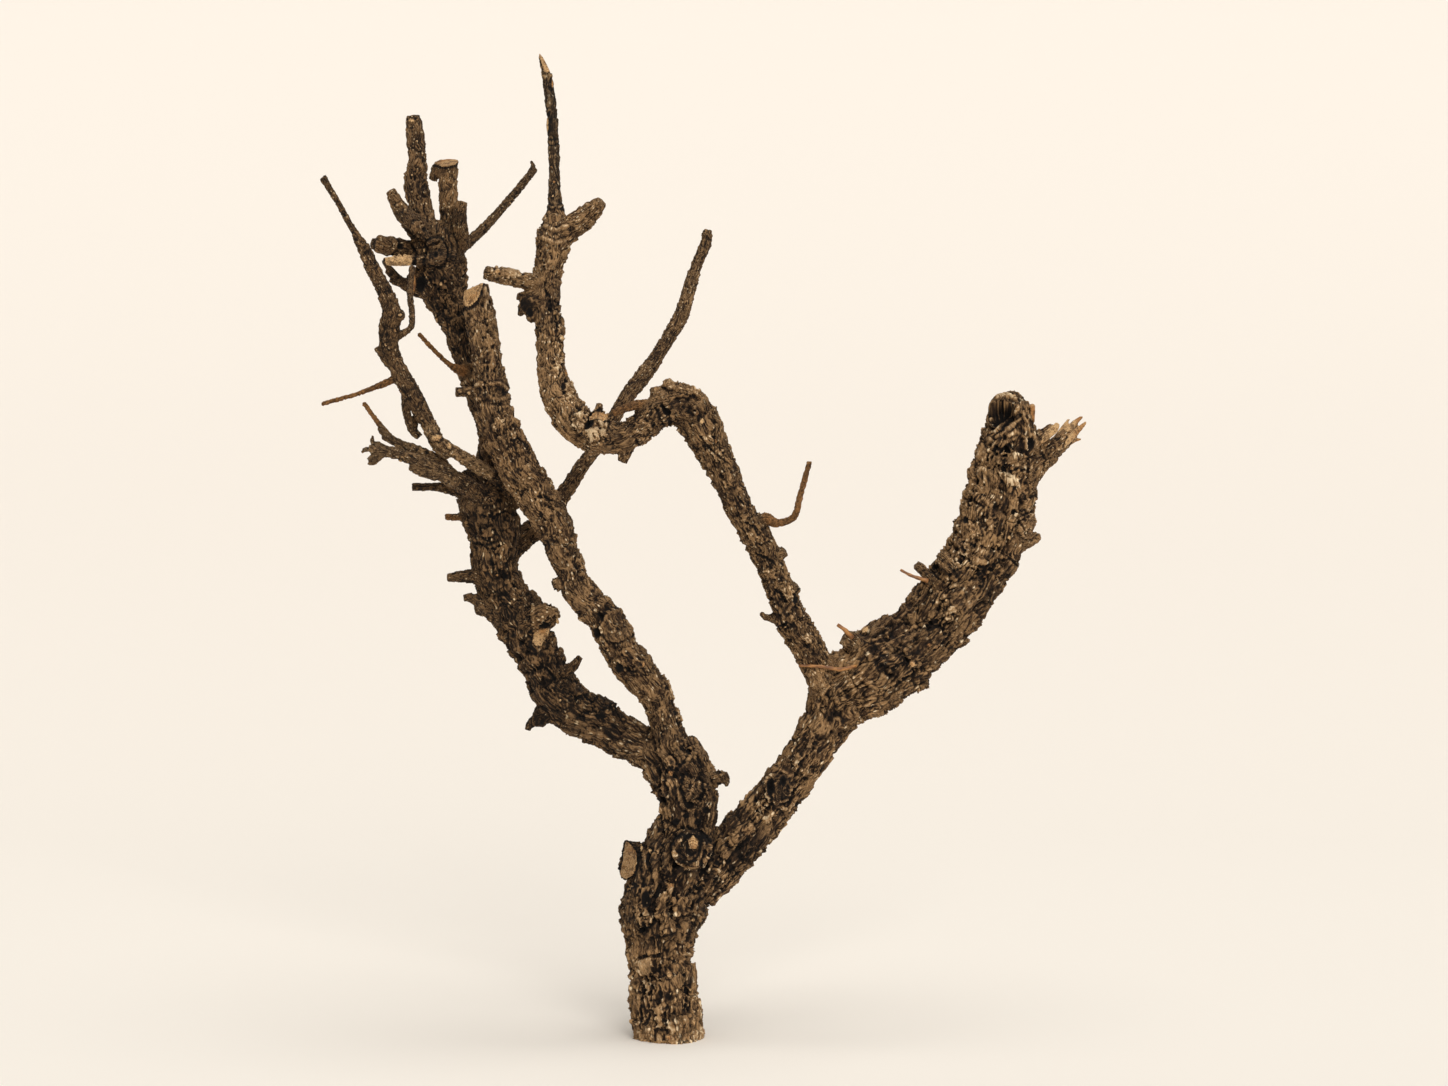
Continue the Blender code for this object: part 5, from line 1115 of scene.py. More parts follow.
class Marks:
    """What the listed marks do to each point: its rise, and how calm, bare, tinted or straw-like it is."""

    def __init__(self, points, normals, owner):
        self.seen = seen_places(points)
        self.facing = normals[:, 1] < 0.2
        self.owner = owner
        self.rise, self.calm, self.bare, self.tint, self.straw = np.zeros((5, len(points)))
        self.pith = np.full(len(points), 2.0)

    def near(self, node, places, margin):
        """The points of a node's front that lie within a margin of the box round some places."""
        places = np.array(places)
        low, high = places.min(axis=0) - margin, places.max(axis=0) + margin
        inside = ((self.seen > low) & (self.seen < high)).all(axis=1)
        return np.flatnonzero(inside & self.facing & (self.owner == NODES.index(node)))

    def lay(self, where, rise, tint, calm, bare):
        self.rise[where] += rise
        self.tint[where] += tint
        self.calm[where] = np.maximum(self.calm[where], calm)
        self.bare[where] = np.maximum(self.bare[where], bare)

    def plate(self, node, lift, lighter, bare, corners):
        where = self.near(node, corners, 2)
        places = self.seen[where]
        edge = line_distance(places, corners + corners[:1])
        edge[inside_outline(places, corners)] *= -1
        across, up = places.T
        edge += 0.4 * np.sin(across * 2.9 + up * 1.7) + 0.3 * np.sin(up * 3.7 - across)
        broken = 0.7 + 0.3 * np.sin(across * 0.9 + up * 1.3 + corners[0][0])
        within = smoothstep(-edge, -0.3, 0.3)
        rise = 1.2 * lift * within - 0.45 * broken * bell(edge - 0.5, 0.3)
        # A dark outline just outside each plate, in the groove at its edge, is painted shade
        tint = lighter * within + 0.4 * bell(edge + 0.35, 0.3) - 1.25 * broken * bell(edge - 0.35, 0.25)
        self.lay(where, rise, tint, 0.25 * within, 0.62 * bare * smoothstep(-edge, 0.0, 0.5))

    def crack(self, node, depth, width, line):
        where = self.near(node, line, 2.5)
        away = line_distance(self.seen[where], line)
        away = np.abs(away + 0.25 * np.sin(self.seen[where].sum(axis=1) * 2.3))
        width = 0.62 * width
        # The crack's middle is painted dark, partly as dark bark and partly as shade in its depth, with a
        # lighter band beside it
        tint = 0.4 * bell(away - 2.1 * width, 0.7 * width) - 1.4 * bell(away, width)
        self.lay(where, -1.0 * depth * bell(away, width), tint, 0, 0)

    def rib(self, node, lighter, height, width, line):
        where = self.near(node, line, 3)
        away = line_distance(self.seen[where], line)
        # A dark band beside each rib is painted shade at its foot
        tint = lighter * bell(away, width) - 0.7 * bell(away - 2 * width, 0.5 * width)
        self.lay(where, height * bell(away, width), tint, 0.7 * bell(away, width), 0)

    def round_part(self, node, across, up, half_width, half_height, margin=1.8):
        """The points round a place, how far out they are in its radii, and the angle round it."""
        where = self.near(node, [(across, up)], margin * max(half_width, half_height))
        offset = (self.seen[where] - (across, up)) / (half_width, half_height)
        angle = np.arctan2(offset[:, 1], offset[:, 0])
        wavy = 1 + 0.07 * np.sin(2 * angle + up) + 0.05 * np.sin(5 * angle + across)
        out = np.linalg.norm(offset, axis=1) * wavy
        return where, out

    def knot(self, node, across, up, radius, rings, lighter):
        where, out = self.round_part(node, across, up, radius, radius * 1.1)
        offset = (self.seen[where] - (across, up)) / radius
        bulge = 0.2 * np.sin(offset[:, 0] * 4 + up) + 0.16 * np.sin(offset[:, 1] * 5 + across)
        wave = np.cos(2 * math.pi * (out + bulge + 0.25 * offset[:, 1]) * rings)
        within = 1 - smoothstep(out, 0.85, 1.05)
        lip = bell(out - 1, 0.16) * (0.65 + 0.35 * np.sin(3 * offset[:, 0] - 2 * offset[:, 1] + up))
        rise = (0.14 * radius + 0.25) * lip + 0.12 * wave * within - 0.35 * bell(out - 1.32, 0.14)
        # The dark ring just outside the lip, in the groove round the knot, is painted shade
        tint = (lighter + 0.25 * (wave - 0.2)) * within + 0.35 * lip - 0.7 * bell(out - 1.28, 0.11)
        self.lay(where, rise, tint, 0.5 * (1 - smoothstep(out, 1.0, 1.3)), 0)

    def pit(self, node, across, up, half_width, half_height, depth):
        where, out = self.round_part(node, across, up, half_width, half_height, 2.2)
        rise = -depth * np.clip(1 - out**2, 0, 1) + 0.2 * bell(out - 1.35, 0.25)
        # Inside each hole the bark is painted dark as shade, with a lighter band at its raised lip
        tint = 0.4 * bell(out - 1.5, 0.25) - 1.9 * (1 - smoothstep(out, 0.7, 1.15))
        self.lay(where, rise, tint, 1 - smoothstep(out, 0.8, 1.2), 0)

    def spot(self, node, across, up, half_width, half_height):
        where, out = self.round_part(node, across, up, half_width, half_height, 3)
        within = 1 - smoothstep(out, 0.8, 1.15)
        rise = 0.3 * within - 0.2 * bell(out - 1.5, 0.25)
        # The dark ring in the groove round each spot is painted shade
        self.lay(where, rise, -0.7 * bell(out - 1.5, 0.25), 0.6 * within, 0.62 * within)

    def shade_broadly(self):
        for node, low, high, lighter in TONES:
            up = self.seen[:, 1]
            share = smoothstep(up, low - 2, low + 2) * (1 - smoothstep(up, high - 2, high + 2))
            self.tint += lighter * share * (self.owner == NODES.index(node))

    def draw_all(self):
        self.shade_broadly()
        for draw, table in (
            (self.plate, PLATES),
            (self.crack, CRACKS),
            (self.rib, RIBS),
            (self.knot, KNOTS),
            (self.pit, PITS),
            (self.spot, SPOTS),
        ):
            for node, rows in table.items():
                for row in rows:
                    draw(node, *row)


def saw(points, owner):
    """Cuts the sawn faces flat, and tells of each its points, how far out they are, how bare, and its rim."""
    cuts = []
    for node, rows in SAWN.items():
        mine = owner == NODES.index(node)
        for place, facing, reach, bare in rows:
            middle = seen_to_real((*place, 0))[:3]
            facing = np.array(facing) / np.linalg.norm(facing)
            offset = points - middle
            beyond = offset @ facing
            flat = np.linalg.norm(offset - beyond[:, None] * facing, axis=1)
            cut = mine & (beyond > -0.3) & (flat < reach) & (beyond < reach)
            over = mine & (beyond > 0) & (flat < reach) & (beyond < 1.6 * reach)
            points[over] -= beyond[over, None] * facing
            cuts.append((cut | over, flat, bare, mine & (flat < reach + 0.8) & (beyond > -1.1)))
    return points, cuts


def carve_hollow(points, owner):
    """Pushes the skin into the rotten top of the right arm, and tells how deep each point went."""
    middle = seen_to_real((*HOLLOW_PLACE, 0))[:3]
    way = np.array(HOLLOW_WAY) / np.linalg.norm(HOLLOW_WAY)
    size = np.array(HOLLOW_SIZE)
    start, step = (points - middle) / size, way / size
    square, half, rest = step @ step, start @ step, (start**2).sum(axis=1) - 1
    inside = (rest < 0) & (owner == NODES.index("right_arm"))
    depth = np.where(inside, (-half + np.sqrt(np.maximum(half**2 - square * rest, 0))) / square, 0)
    return points + depth[:, None] * way, depth


# Node trees


class Tree:
    """Short words for laying out a node tree."""

    def __init__(self, tree):
        self.tree = tree

    def plug(self, socket, value):
        if isinstance(value, bpy.types.NodeSocket):
            self.tree.links.new(value, socket)
        else:
            socket.default_value = value

    def node(self, kind, sockets=None, **settings):
        made = self.tree.nodes.new(kind)
        for key, value in settings.items():
            setattr(made, key, value)
        for key, value in (sockets or {}).items():
            self.plug(made.inputs[key], value)
        return made

    def math(self, operation, *values, clamp=False):
        made = self.node("ShaderNodeMath", operation=operation, use_clamp=clamp)
        for socket, value in zip(made.inputs, values):
            self.plug(socket, value)
        return made.outputs[0]

    def total(self, *values):
        made = values[0]
        for value in values[1:]:
            made = self.math("ADD", made, value)
        return made

    def vector(self, operation, *values):
        made = self.node("ShaderNodeVectorMath", operation=operation)
        for socket, value in zip(made.inputs, values):
            self.plug(socket, value)
        return made.outputs["Vector"]

    def split(self, socket):
        """The three parts of a place or a colour."""
        return self.node("ShaderNodeSeparateXYZ", {"Vector": socket}).outputs

    def ramp(self, value, low, high, start=0.0, end=1.0):
        sockets = {"Value": value, "From Min": low, "From Max": high, "To Min": start, "To Max": end}
        return self.node("ShaderNodeMapRange", sockets, interpolation_type="SMOOTHSTEP").outputs["Result"]

    def noise(self, place, scale, detail=2.0, roughness=0.5):
        sockets = {"Vector": place, "Scale": scale, "Detail": detail, "Roughness": roughness}
        return self.node("ShaderNodeTexNoise", sockets)

    def cells(self, place, feature):
        return self.node("ShaderNodeTexVoronoi", {"Vector": place, "Scale": 1.0}, feature=feature)

    def blend(self, share, first, second):
        """One number passing into another by a mask."""
        made = self.node("ShaderNodeMix", data_type="FLOAT")
        for key, value in ((0, share), (2, first), (3, second)):
            self.plug(made.inputs[key], value)
        return made.outputs[0]

    def mix(self, share, first, second):
        """One colour laid over another by a mask."""
        made = self.node("ShaderNodeMix", data_type="RGBA")
        self.plug(made.inputs["Factor"], share)
        self.plug(made.inputs[6], first)
        self.plug(made.inputs[7], second)
        return made.outputs[2]


def bark_pattern(t, grain, twig):
    """The bark's height, about -1 to 1, how much it is crack, rim and fibre, and its bent grain."""

    def ridges(place, scale, width):
        wave = t.noise(place, scale, 1.5).outputs["Fac"]
        return t.ramp(t.math("ABSOLUTE", t.math("MULTIPLY_ADD", wave, 2.0, -1.0)), width, 0.0)

    wide = t.vector("SUBTRACT", t.noise(grain, 0.07, 1.0).outputs["Color"], (0.5, 0.5, 0.5))
    fine = t.vector("SUBTRACT", t.noise(grain, 0.3, 1.0).outputs["Color"], (0.5, 0.5, 0.5))
    bent = t.vector("MULTIPLY_ADD", wide, (10.0, 8.0, 8.0), grain)
    bent = t.vector("MULTIPLY_ADD", fine, (1.8, 1.4, 1.4), bent)
    thin = t.math("SUBTRACT", 1.0, twig)
    patch = t.ramp(t.noise(grain, 0.06, 1.0).outputs["Fac"], 0.4, 0.6)
    broken = t.ramp(t.noise(grain, 0.15, 2.0).outputs["Fac"], 0.42, 0.54)
    aside = t.vector("ADD", grain, (40.0, 9.0, 3.0))
    scaly = t.ramp(t.noise(aside, 0.12, 2.0).outputs["Fac"], 0.5, 0.6)

    # Plates, each at its own height and tipped like a shingle, with cracks along only some of their rims
    plated = t.vector("MULTIPLY", bent, (1 / 9, 1 / 3.8, 1 / 3.8))
    edge = t.cells(plated, "DISTANCE_TO_EDGE").outputs["Distance"]
    cell = t.cells(plated, "F1")
    own = t.split(cell.outputs["Color"])[0]
    lift = t.split(t.vector("SUBTRACT", plated, cell.outputs["Position"]))[0]
    crack = t.math("MULTIPLY", t.ramp(edge, 0.05, 0.01), broken)
    plates = t.total(t.math("MULTIPLY_ADD", own, 0.8, -0.4), t.math("MULTIPLY", lift, 0.7))
    plates = t.math("MULTIPLY", plates, t.math("MULTIPLY_ADD", patch, 0.6, 0.4))

    # Small scales between them
    scaled = t.vector("MULTIPLY", bent, (1 / 4.2, 1 / 1.7, 1 / 1.7))
    scale_edge = t.cells(scaled, "DISTANCE_TO_EDGE").outputs["Distance"]
    scale_own = t.split(t.cells(scaled, "F1").outputs["Color"])[0]
    nick = t.math("MULTIPLY", t.ramp(scale_edge, 0.09, 0.01), scaly)
    scales = t.math("MULTIPLY", t.math("MULTIPLY_ADD", scale_own, 0.36, -0.16), scaly)
    hard = t.math("MULTIPLY_ADD", thin, 0.75, 0.25)
    plates = t.math("MULTIPLY", t.total(plates, scales, t.math("MULTIPLY", crack, -0.9)), hard)
    plates = t.math("MULTIPLY_ADD", t.math("MULTIPLY", nick, hard), -0.3, plates)

    # Long fibrous ridges that wind round knots, with finer ones between them
    ridge = ridges(t.vector("MULTIPLY", bent, (0.13, 0.6, 0.6)), 1.0, 0.26)
    thread = ridges(t.vector("MULTIPLY", bent, (0.16, 1.0, 1.0)), 1.5, 0.24)
    fibres = t.math("MULTIPLY", ridge, t.math("MULTIPLY_ADD", patch, -0.5, 0.95))
    fibres = t.math("MULTIPLY_ADD", thread, 0.22, fibres)

    # Long cracks that snake along the limb between broad folds
    folded = t.vector("MULTIPLY", bent, (0.07, 0.25, 0.25))
    fold = t.math("MULTIPLY", ridges(folded, 1.0, 0.05), t.math("MULTIPLY", hard, broken))
    swell = t.noise(folded, 1.0, 1.5).outputs["Fac"]

    # Grit, mounds, and ledges where one layer of bark ends over the next
    grit = t.noise(t.vector("MULTIPLY", grain, (0.6, 1.0, 1.0)), 0.85, 4.0, 0.6).outputs["Fac"]
    mound = t.noise(grain, 0.17, 1.0).outputs["Fac"]
    ledge = t.math("FRACT", t.math("MULTIPLY", t.split(bent)[0], 1 / 7.5))
    ledge = t.math("MULTIPLY", t.math("SUBTRACT", ledge, 0.5), t.math("MULTIPLY", broken, 1.15))
    height = t.total(
        plates,
        t.math("MULTIPLY_ADD", fibres, 0.75, -0.3),
        t.math("MULTIPLY_ADD", grit, 0.26, -0.13),
        t.math("MULTIPLY_ADD", mound, 0.9, -0.45),
        t.math("MULTIPLY_ADD", swell, 0.8, -0.4),
        t.math("MULTIPLY", fold, -0.9),
        ledge,
    )
    rim = t.math("MULTIPLY", t.ramp(edge, 0.17, 0.08), t.ramp(own, 0.25, 0.6))
    small = t.math("MULTIPLY", t.ramp(scale_edge, 0.25, 0.12), t.math("MULTIPLY", scaly, 0.7))
    rim = t.math("MAXIMUM", rim, small)
    between = t.math("MULTIPLY", t.ramp(scale_edge, 0.06, 0.015), 0.8)
    deep = t.math("MAXIMUM", t.ramp(edge, 0.035, 0.01), between)
    deep = t.math("MULTIPLY", deep, t.math("MAXIMUM", broken, t.math("MULTIPLY", scaly, 0.8)))
    deep = t.math("MAXIMUM", deep, t.math("MULTIPLY", t.ramp(fold, 0.4, 0.9), 0.8))
    return height, deep, rim, t.math("MAXIMUM", ridge, t.math("MULTIPLY", thread, 0.8)), bent


def bark_tree():
    """Geometry Nodes that raise the bark of the skin and store its height for the finish."""
    tree = bpy.data.node_groups.new("raised bark", "GeometryNodeTree")
    face = tree.interface
    face.new_socket("Geometry", in_out="INPUT", socket_type="NodeSocketGeometry")
    depth = face.new_socket("Bark depth", in_out="INPUT", socket_type="NodeSocketFloat")
    face.new_socket("Geometry", in_out="OUTPUT", socket_type="NodeSocketGeometry")
    t = Tree(tree)
    start = t.node("NodeGroupInput")
    end = t.node("NodeGroupOutput")

    def stored(name, kind="FLOAT"):
        return t.node("GeometryNodeInputNamedAttribute", {"Name": name}, data_type=kind).outputs["Attribute"]

    twig, calm, fork = stored("twig"), stored("calm"), stored("fork")
    first = bark_pattern(t, stored("grain_a", "FLOAT_VECTOR"), twig)[0]
    second = bark_pattern(t, stored("grain_b", "FLOAT_VECTOR"), twig)[0]
    near = t.math("MULTIPLY", first, t.math("SUBTRACT", 1.0, fork))
    height = t.math("MULTIPLY_ADD", second, fork, near)
    height = t.math("MULTIPLY", height, t.math("SUBTRACT", 1.0, calm))
    raised = t.math("MULTIPLY", t.math("MULTIPLY", height, stored("thick")), start.outputs["Bark depth"])
    move = t.vector("SCALE", t.node("GeometryNodeInputNormal").outputs["Normal"])
    t.plug(move.node.inputs["Scale"], raised)
    shape = t.node("GeometryNodeSetPosition", {"Geometry": start.outputs["Geometry"], "Offset": move})
    store = t.node("GeometryNodeStoreNamedAttribute", data_type="FLOAT", domain="POINT")
    t.plug(store.inputs["Geometry"], shape.outputs["Geometry"])
    t.plug(store.inputs["Name"], "relief")
    t.plug(store.inputs["Value"], height)
    t.plug(end.inputs["Geometry"], store.outputs["Geometry"])
    return tree, depth.identifier


def raise_bark(points, faces, values):
    """The skin's points once its bark is raised, and the height of that bark."""
    thing = skin_object("raised", points, [faces], values)
    modifier = thing.modifiers.new("bark", "NODES")
    modifier.node_group, depth = bark_tree()
    modifier[depth] = BARK_DEPTH * MM
    mesh = plain_result(thing)
    moved = np.empty(len(points) * 3)
    mesh.vertices.foreach_get("co", moved)
    relief = np.empty(len(points))
    mesh.attributes["relief"].data.foreach_get("value", relief)
    bpy.data.objects.remove(thing)
    return moved.reshape(-1, 3) / MM, relief


# Pieces


def settle(owner, faces, rounds=4):
    """The owner of each face, with ragged borders and stray spots taken out."""
    numbers = range(len(NODES))
    face_owner = owner[faces[:, 0]]
    for _ in range(rounds):
        votes = [np.bincount(faces.ravel(), np.repeat(face_owner == n, 4), len(owner)) for n in numbers]
        owner = np.stack(votes).argmax(axis=0)
        face_owner = np.stack([(owner[faces] == n).sum(axis=1) for n in numbers]).argmax(axis=0)
    return face_owner


def cap_rims(points, faces):
    """Closes each open rim of a piece with a fan to a new point at its middle."""
    ends = np.vstack([faces[:, [k, (k + 1) % 4]] for k in range(4)])
    key = np.sort(ends, axis=1)
    _, back, count = np.unique(key, axis=0, return_inverse=True, return_counts=True)
    rim = ends[count[back.ravel()] == 1]
    group = np.arange(len(points))
    while True:
        low = np.minimum(group[rim[:, 0]], group[rim[:, 1]])
        merged = group.copy()
        np.minimum.at(merged, rim[:, 0], low)
        np.minimum.at(merged, rim[:, 1], low)
        if (merged == group).all():
            break
        group = merged
    middles, fans = [], []
    for name in np.unique(group[rim[:, 0]]):
        mine = rim[group[rim[:, 0]] == name]
        middles.append(points[mine.ravel()].mean(axis=0))
        hub = len(points) + len(middles) - 1
        fans += [(b, a, hub) for a, b in mine]
    return np.array(middles), np.array(fans)


def part_skin(points, faces, owner, values, normals, finishes):
    """One closed piece for each node, which takes its shading from the whole skin."""
    pieces = {}
    for number, node in enumerate(NODES):
        mine = np.flatnonzero(owner == number)
        used, local = np.unique(faces[mine], return_inverse=True)
        local = local.reshape(-1, 4)
        middles, fans = cap_rims(points[used], local)
        groups = [local, fans] if len(fans) else [local]
        corners = len(mine) * 4 + len(fans) * 3
        mine_values = {}
        for key, value in values.items():
            if len(value) == len(points):
                mine_values[key] = np.concatenate([value[used], np.zeros((len(middles), *value.shape[1:]))])
            else:
                kept = value.reshape(-1, 4, 3)[mine].reshape(-1, 3)
                mine_values[key] = np.concatenate([kept, np.zeros((corners - len(kept), 3))])
        shown = np.concatenate([points[used], middles]) if len(middles) else points[used]
        piece = skin_object(node + "_bark", shown, groups, mine_values)
        directions = np.concatenate([normals[used], np.tile((0, 0, 1.0), (len(middles), 1))])
        piece.data.normals_split_custom_set_from_vertices(directions)
        piece.data.materials.append(finishes[SLOT_OF[node]])
        pieces[node] = piece
    return pieces


def straw_piece(node, rows, finish):
    """The straws of one node: thin closed tubes that lie on its bark."""
    made = bmesh.new()
    for stations in rows:
        path = smooth_path(stations, 1.0)
        along = np.gradient(path[:, :3], axis=0)
        rings = []
        for number, (x, y, z, radius) in enumerate(path.tolist()):
            first = Vector(along[number]).cross(Vector((0, 1, 0.2))).normalized()
            second = first.cross(Vector(along[number])).normalized()
            turns = [k * math.tau / STRAW_SIDES for k in range(STRAW_SIDES)]
            size = radius * (1 + 0.12 * math.sin(number * 1.9))
            ring = [Vector((x, y, z)) + size * (math.cos(a) * first + math.sin(a) * second) for a in turns]
            rings.append([made.verts.new(point * MM) for point in ring])
        close_tube(made, rings)
    bmesh.ops.recalc_face_normals(made, faces=made.faces)
    mesh = mesh_of(made, node + "_straws")
    mesh.shade_smooth()
    mesh.materials.append(finish)
    dress(placed(node + "_straws", mesh), node)


# Finishes


def paint(code):
    """A colour written as six hex digits, as the shader wants it."""
    shares = [int(code[k : k + 2], 16) / 255 for k in (1, 3, 5)]
    return (*[s / 12.92 if s <= 0.04045 else ((s + 0.055) / 1.055) ** 2.4 for s in shares], 1.0)


def new_group(name, inputs, outputs):
    tree = bpy.data.node_groups.new(name, "ShaderNodeTree")
    for key, kind in inputs.items():
        tree.interface.new_socket(key, in_out="INPUT", socket_type="NodeSocket" + kind)
    for key, kind in outputs.items():
        tree.interface.new_socket(key, in_out="OUTPUT", socket_type="NodeSocket" + kind)
    t = Tree(tree)
    return t, t.node("NodeGroupInput").outputs, t.node("NodeGroupOutput").inputs


def bark_group():
    """Colour and fine height of bark: dark cracks that are partly painted shade, brown plates, tan rims and
    pale flecks.
    """
    inputs = {"Grain": "Vector", "Relief": "Float", "Twig": "Float", "Calm": "Float", "Tint": "Float"}
    inputs |= {"Straw": "Float", "Crack": "Color", "Shade": "Color", "Body": "Color", "Worn": "Color"}
    inputs |= {"Fleck": "Color", "Dry": "Color"}
    t, given, out = new_group("bark", inputs, {"Color": "Color", "Roughness": "Float", "Height": "Float"})
    place = t.node("ShaderNodeTexCoord").outputs["Object"]
    grain, calm = given["Grain"], given["Calm"]
    rough = t.math("SUBTRACT", 1.0, t.math("MULTIPLY", calm, 0.85))
    _, deep, rim, fibre, bent = bark_pattern(t, grain, given["Twig"])
    deep, rim = t.math("MULTIPLY", deep, rough), t.math("MULTIPLY", rim, rough)

    # Fine strokes along the grain, light and dark
    streak = t.noise(t.vector("MULTIPLY", grain, (0.22, 1.0, 1.0)), 1.9, 3.0, 0.6).outputs["Fac"]
    stroke = t.math("ABSOLUTE", t.math("MULTIPLY_ADD", streak, 2.0, -1.0))
    aside = t.vector("MULTIPLY_ADD", grain, (0.2, 1.0, 1.0), (7.0, 3.0, 5.0))
    groove = t.noise(aside, 1.5, 2.0).outputs["Fac"]
    groove = t.ramp(t.math("ABSOLUTE", t.math("MULTIPLY_ADD", groove, 2.0, -1.0)), 0.07, 0.0)
    stroke = t.ramp(stroke, 0.12, 0.0)

    # Wrinkles that run with the grain and close in loops, like the lines on a map
    swirl = t.noise(t.vector("MULTIPLY", bent, (0.05, 0.27, 0.27)), 1.0, 1.5).outputs["Fac"]
    wrinkle = t.math("SINE", t.math("MULTIPLY", swirl, 42.0))
    shown = t.ramp(t.noise(grain, 0.2, 2.0).outputs["Fac"], 0.38, 0.52)
    furrow = t.math("MULTIPLY", t.ramp(wrinkle, -0.45, -0.95), shown)
    crest = t.math("MULTIPLY", t.ramp(wrinkle, 0.55, 0.95), shown)

    # A light tint lifts the colour by steps, and a dark one mostly dims it evenly
    gloom = t.math("MINIMUM", given["Tint"], 0.0)
    grit = t.noise(place, 1100.0, 3.0, 0.65).outputs["Fac"]
    cloud = t.noise(place, 55.0, 3.0, 0.6).outputs["Fac"]
    # Low bark is painted darker by the relief, as shade, and raised bark lighter
    level = t.total(
        t.math("MULTIPLY", given["Relief"], 0.4),
        t.math("MULTIPLY_ADD", grit, 0.7, -0.35),
        t.math("MULTIPLY_ADD", cloud, 0.7, -0.35),
        t.math("MULTIPLY", wrinkle, t.math("MULTIPLY", shown, 0.2)),
        t.math("MULTIPLY_ADD", fibre, 0.35, -0.1),
        t.math("MULTIPLY_ADD", gloom, -0.55, given["Tint"]),
    )
    colour = t.mix(t.ramp(level, -1.05, -0.5), given["Crack"], given["Shade"])
    colour = t.mix(t.ramp(level, -0.55, -0.02), colour, given["Body"])
    worn = t.math("MULTIPLY", rim, t.ramp(level, -0.4, 0.2))
    worn = t.math("MAXIMUM", worn, t.math("MULTIPLY", stroke, t.ramp(level, -0.25, 0.3)))
    worn = t.math("MAXIMUM", worn, t.math("MULTIPLY", crest, t.ramp(level, -0.4, 0.3)))
    worn = t.math("MAXIMUM", worn, t.ramp(level, 0.06, 0.66))
    colour = t.mix(t.math("MULTIPLY", worn, 0.85), colour, given["Worn"])
    cell = t.cells(t.vector("MULTIPLY", grain, (0.4, 0.8, 0.8)), "F1")
    chance = t.split(cell.outputs["Color"])[0]
    spot = t.math("MULTIPLY", t.ramp(cell.outputs["Distance"], 0.42, 0.2), t.ramp(chance, 0.76, 0.8))
    bright = t.math("MULTIPLY", t.ramp(level, 0.5, 0.9), t.math("MAXIMUM", rim, stroke))
    spot = t.math("MAXIMUM", spot, bright)
    colour = t.mix(t.math("MULTIPLY", spot, t.ramp(level, -0.2, 0.15)), colour, given["Fleck"])
    dark = t.math("MULTIPLY", groove, t.math("MULTIPLY", t.ramp(level, 0.6, -0.1), 0.6))
    dark = t.math("MAXIMUM", dark, t.math("MULTIPLY", furrow, t.ramp(level, 0.7, -0.1, 0.35, 0.8)))
    # Plate cracks, folds, grooves and furrows take the crack colour: dark bark, and painted shade in their
    # depth
    colour = t.mix(t.math("MAXIMUM", t.math("MULTIPLY", deep, 0.8), dark), colour, given["Crack"])
    # The dark tint holds darker bark and the painted shade of holes, cracks, outlines and the hollow
    colour = t.mix(t.math("MULTIPLY", gloom, -0.72, clamp=True), colour, given["Crack"])
    dry = t.mix(t.ramp(level, -0.5, 0.6), given["Body"], given["Dry"])
    colour = t.mix(given["Straw"], colour, dry)
    t.plug(out["Color"], colour)
    t.plug(out["Roughness"], t.ramp(level, -0.3, 0.7, 0.9, 0.66))
    height = t.total(
        t.math("MULTIPLY", grit, 0.6),
        t.math("MULTIPLY", stroke, 0.35),
        t.math("MULTIPLY", spot, 0.6),
        t.math("MULTIPLY", deep, -1.0),
        t.math("MULTIPLY", groove, -0.6),
        t.math("MULTIPLY", wrinkle, t.math("MULTIPLY", shown, 0.5)),
        t.math("MULTIPLY", rim, 0.35),
    )
    t.plug(out["Height"], height)
    return t.tree


def wood_group():
    """Colour and fine height of bare wood: rings round the pith, fibres along the grain, and dirt."""
    inputs = {"Grain": "Vector", "Pith": "Float", "Pale": "Color", "Amber": "Color", "Stain": "Color"}
    t, given, out = new_group("bare wood", inputs, {"Color": "Color", "Height": "Float"})
    place = t.node("ShaderNodeTexCoord").outputs["Object"]
    wander = t.noise(place, 220.0, 2.0).outputs["Fac"]
    ring = t.math("SINE", t.math("MULTIPLY_ADD", given["Pith"], 6.5, t.math("MULTIPLY", wander, 9.0)))
    ring = t.ramp(ring, -0.3, 1.0)
    fibre = t.noise(t.vector("MULTIPLY", given["Grain"], (0.15, 1.0, 1.0)), 3.2, 3.0, 0.65).outputs["Fac"]
    dirt = t.noise(place, 420.0, 4.0, 0.7).outputs["Fac"]
    cloud = t.noise(place, 130.0, 2.0).outputs["Fac"]
    speck = t.cells(t.vector("MULTIPLY", place, (900.0, 900.0, 900.0)), "F1")
    chance = t.split(speck.outputs["Color"])[0]
    speck = t.math("MULTIPLY", t.ramp(speck.outputs["Distance"], 0.42, 0.2), t.ramp(chance, 0.6, 0.65))
    colour = t.mix(t.math("MULTIPLY", ring, 0.7), given["Pale"], given["Amber"])
    colour = t.mix(t.ramp(cloud, 0.5, 0.66), colour, given["Amber"])
    colour = t.mix(t.ramp(fibre, 0.52, 0.38), colour, given["Stain"])
    soiled = t.math("MAXIMUM", t.ramp(dirt, 0.5, 0.64), t.math("MULTIPLY", speck, 0.85))
    colour = t.mix(t.math("MULTIPLY", soiled, 0.8), colour, given["Stain"])
    t.plug(out["Color"], colour)
    lines = t.total(t.math("MULTIPLY", ring, -0.5), fibre, t.math("MULTIPLY", speck, -0.8))
    t.plug(out["Height"], lines)
    return t.tree


def new_finish(name):
    """A new material, its shader, and the words for its node tree."""
    material = bpy.data.materials.new(name)
    material.use_nodes = True
    return material, material.node_tree.nodes["Principled BSDF"], Tree(material.node_tree)


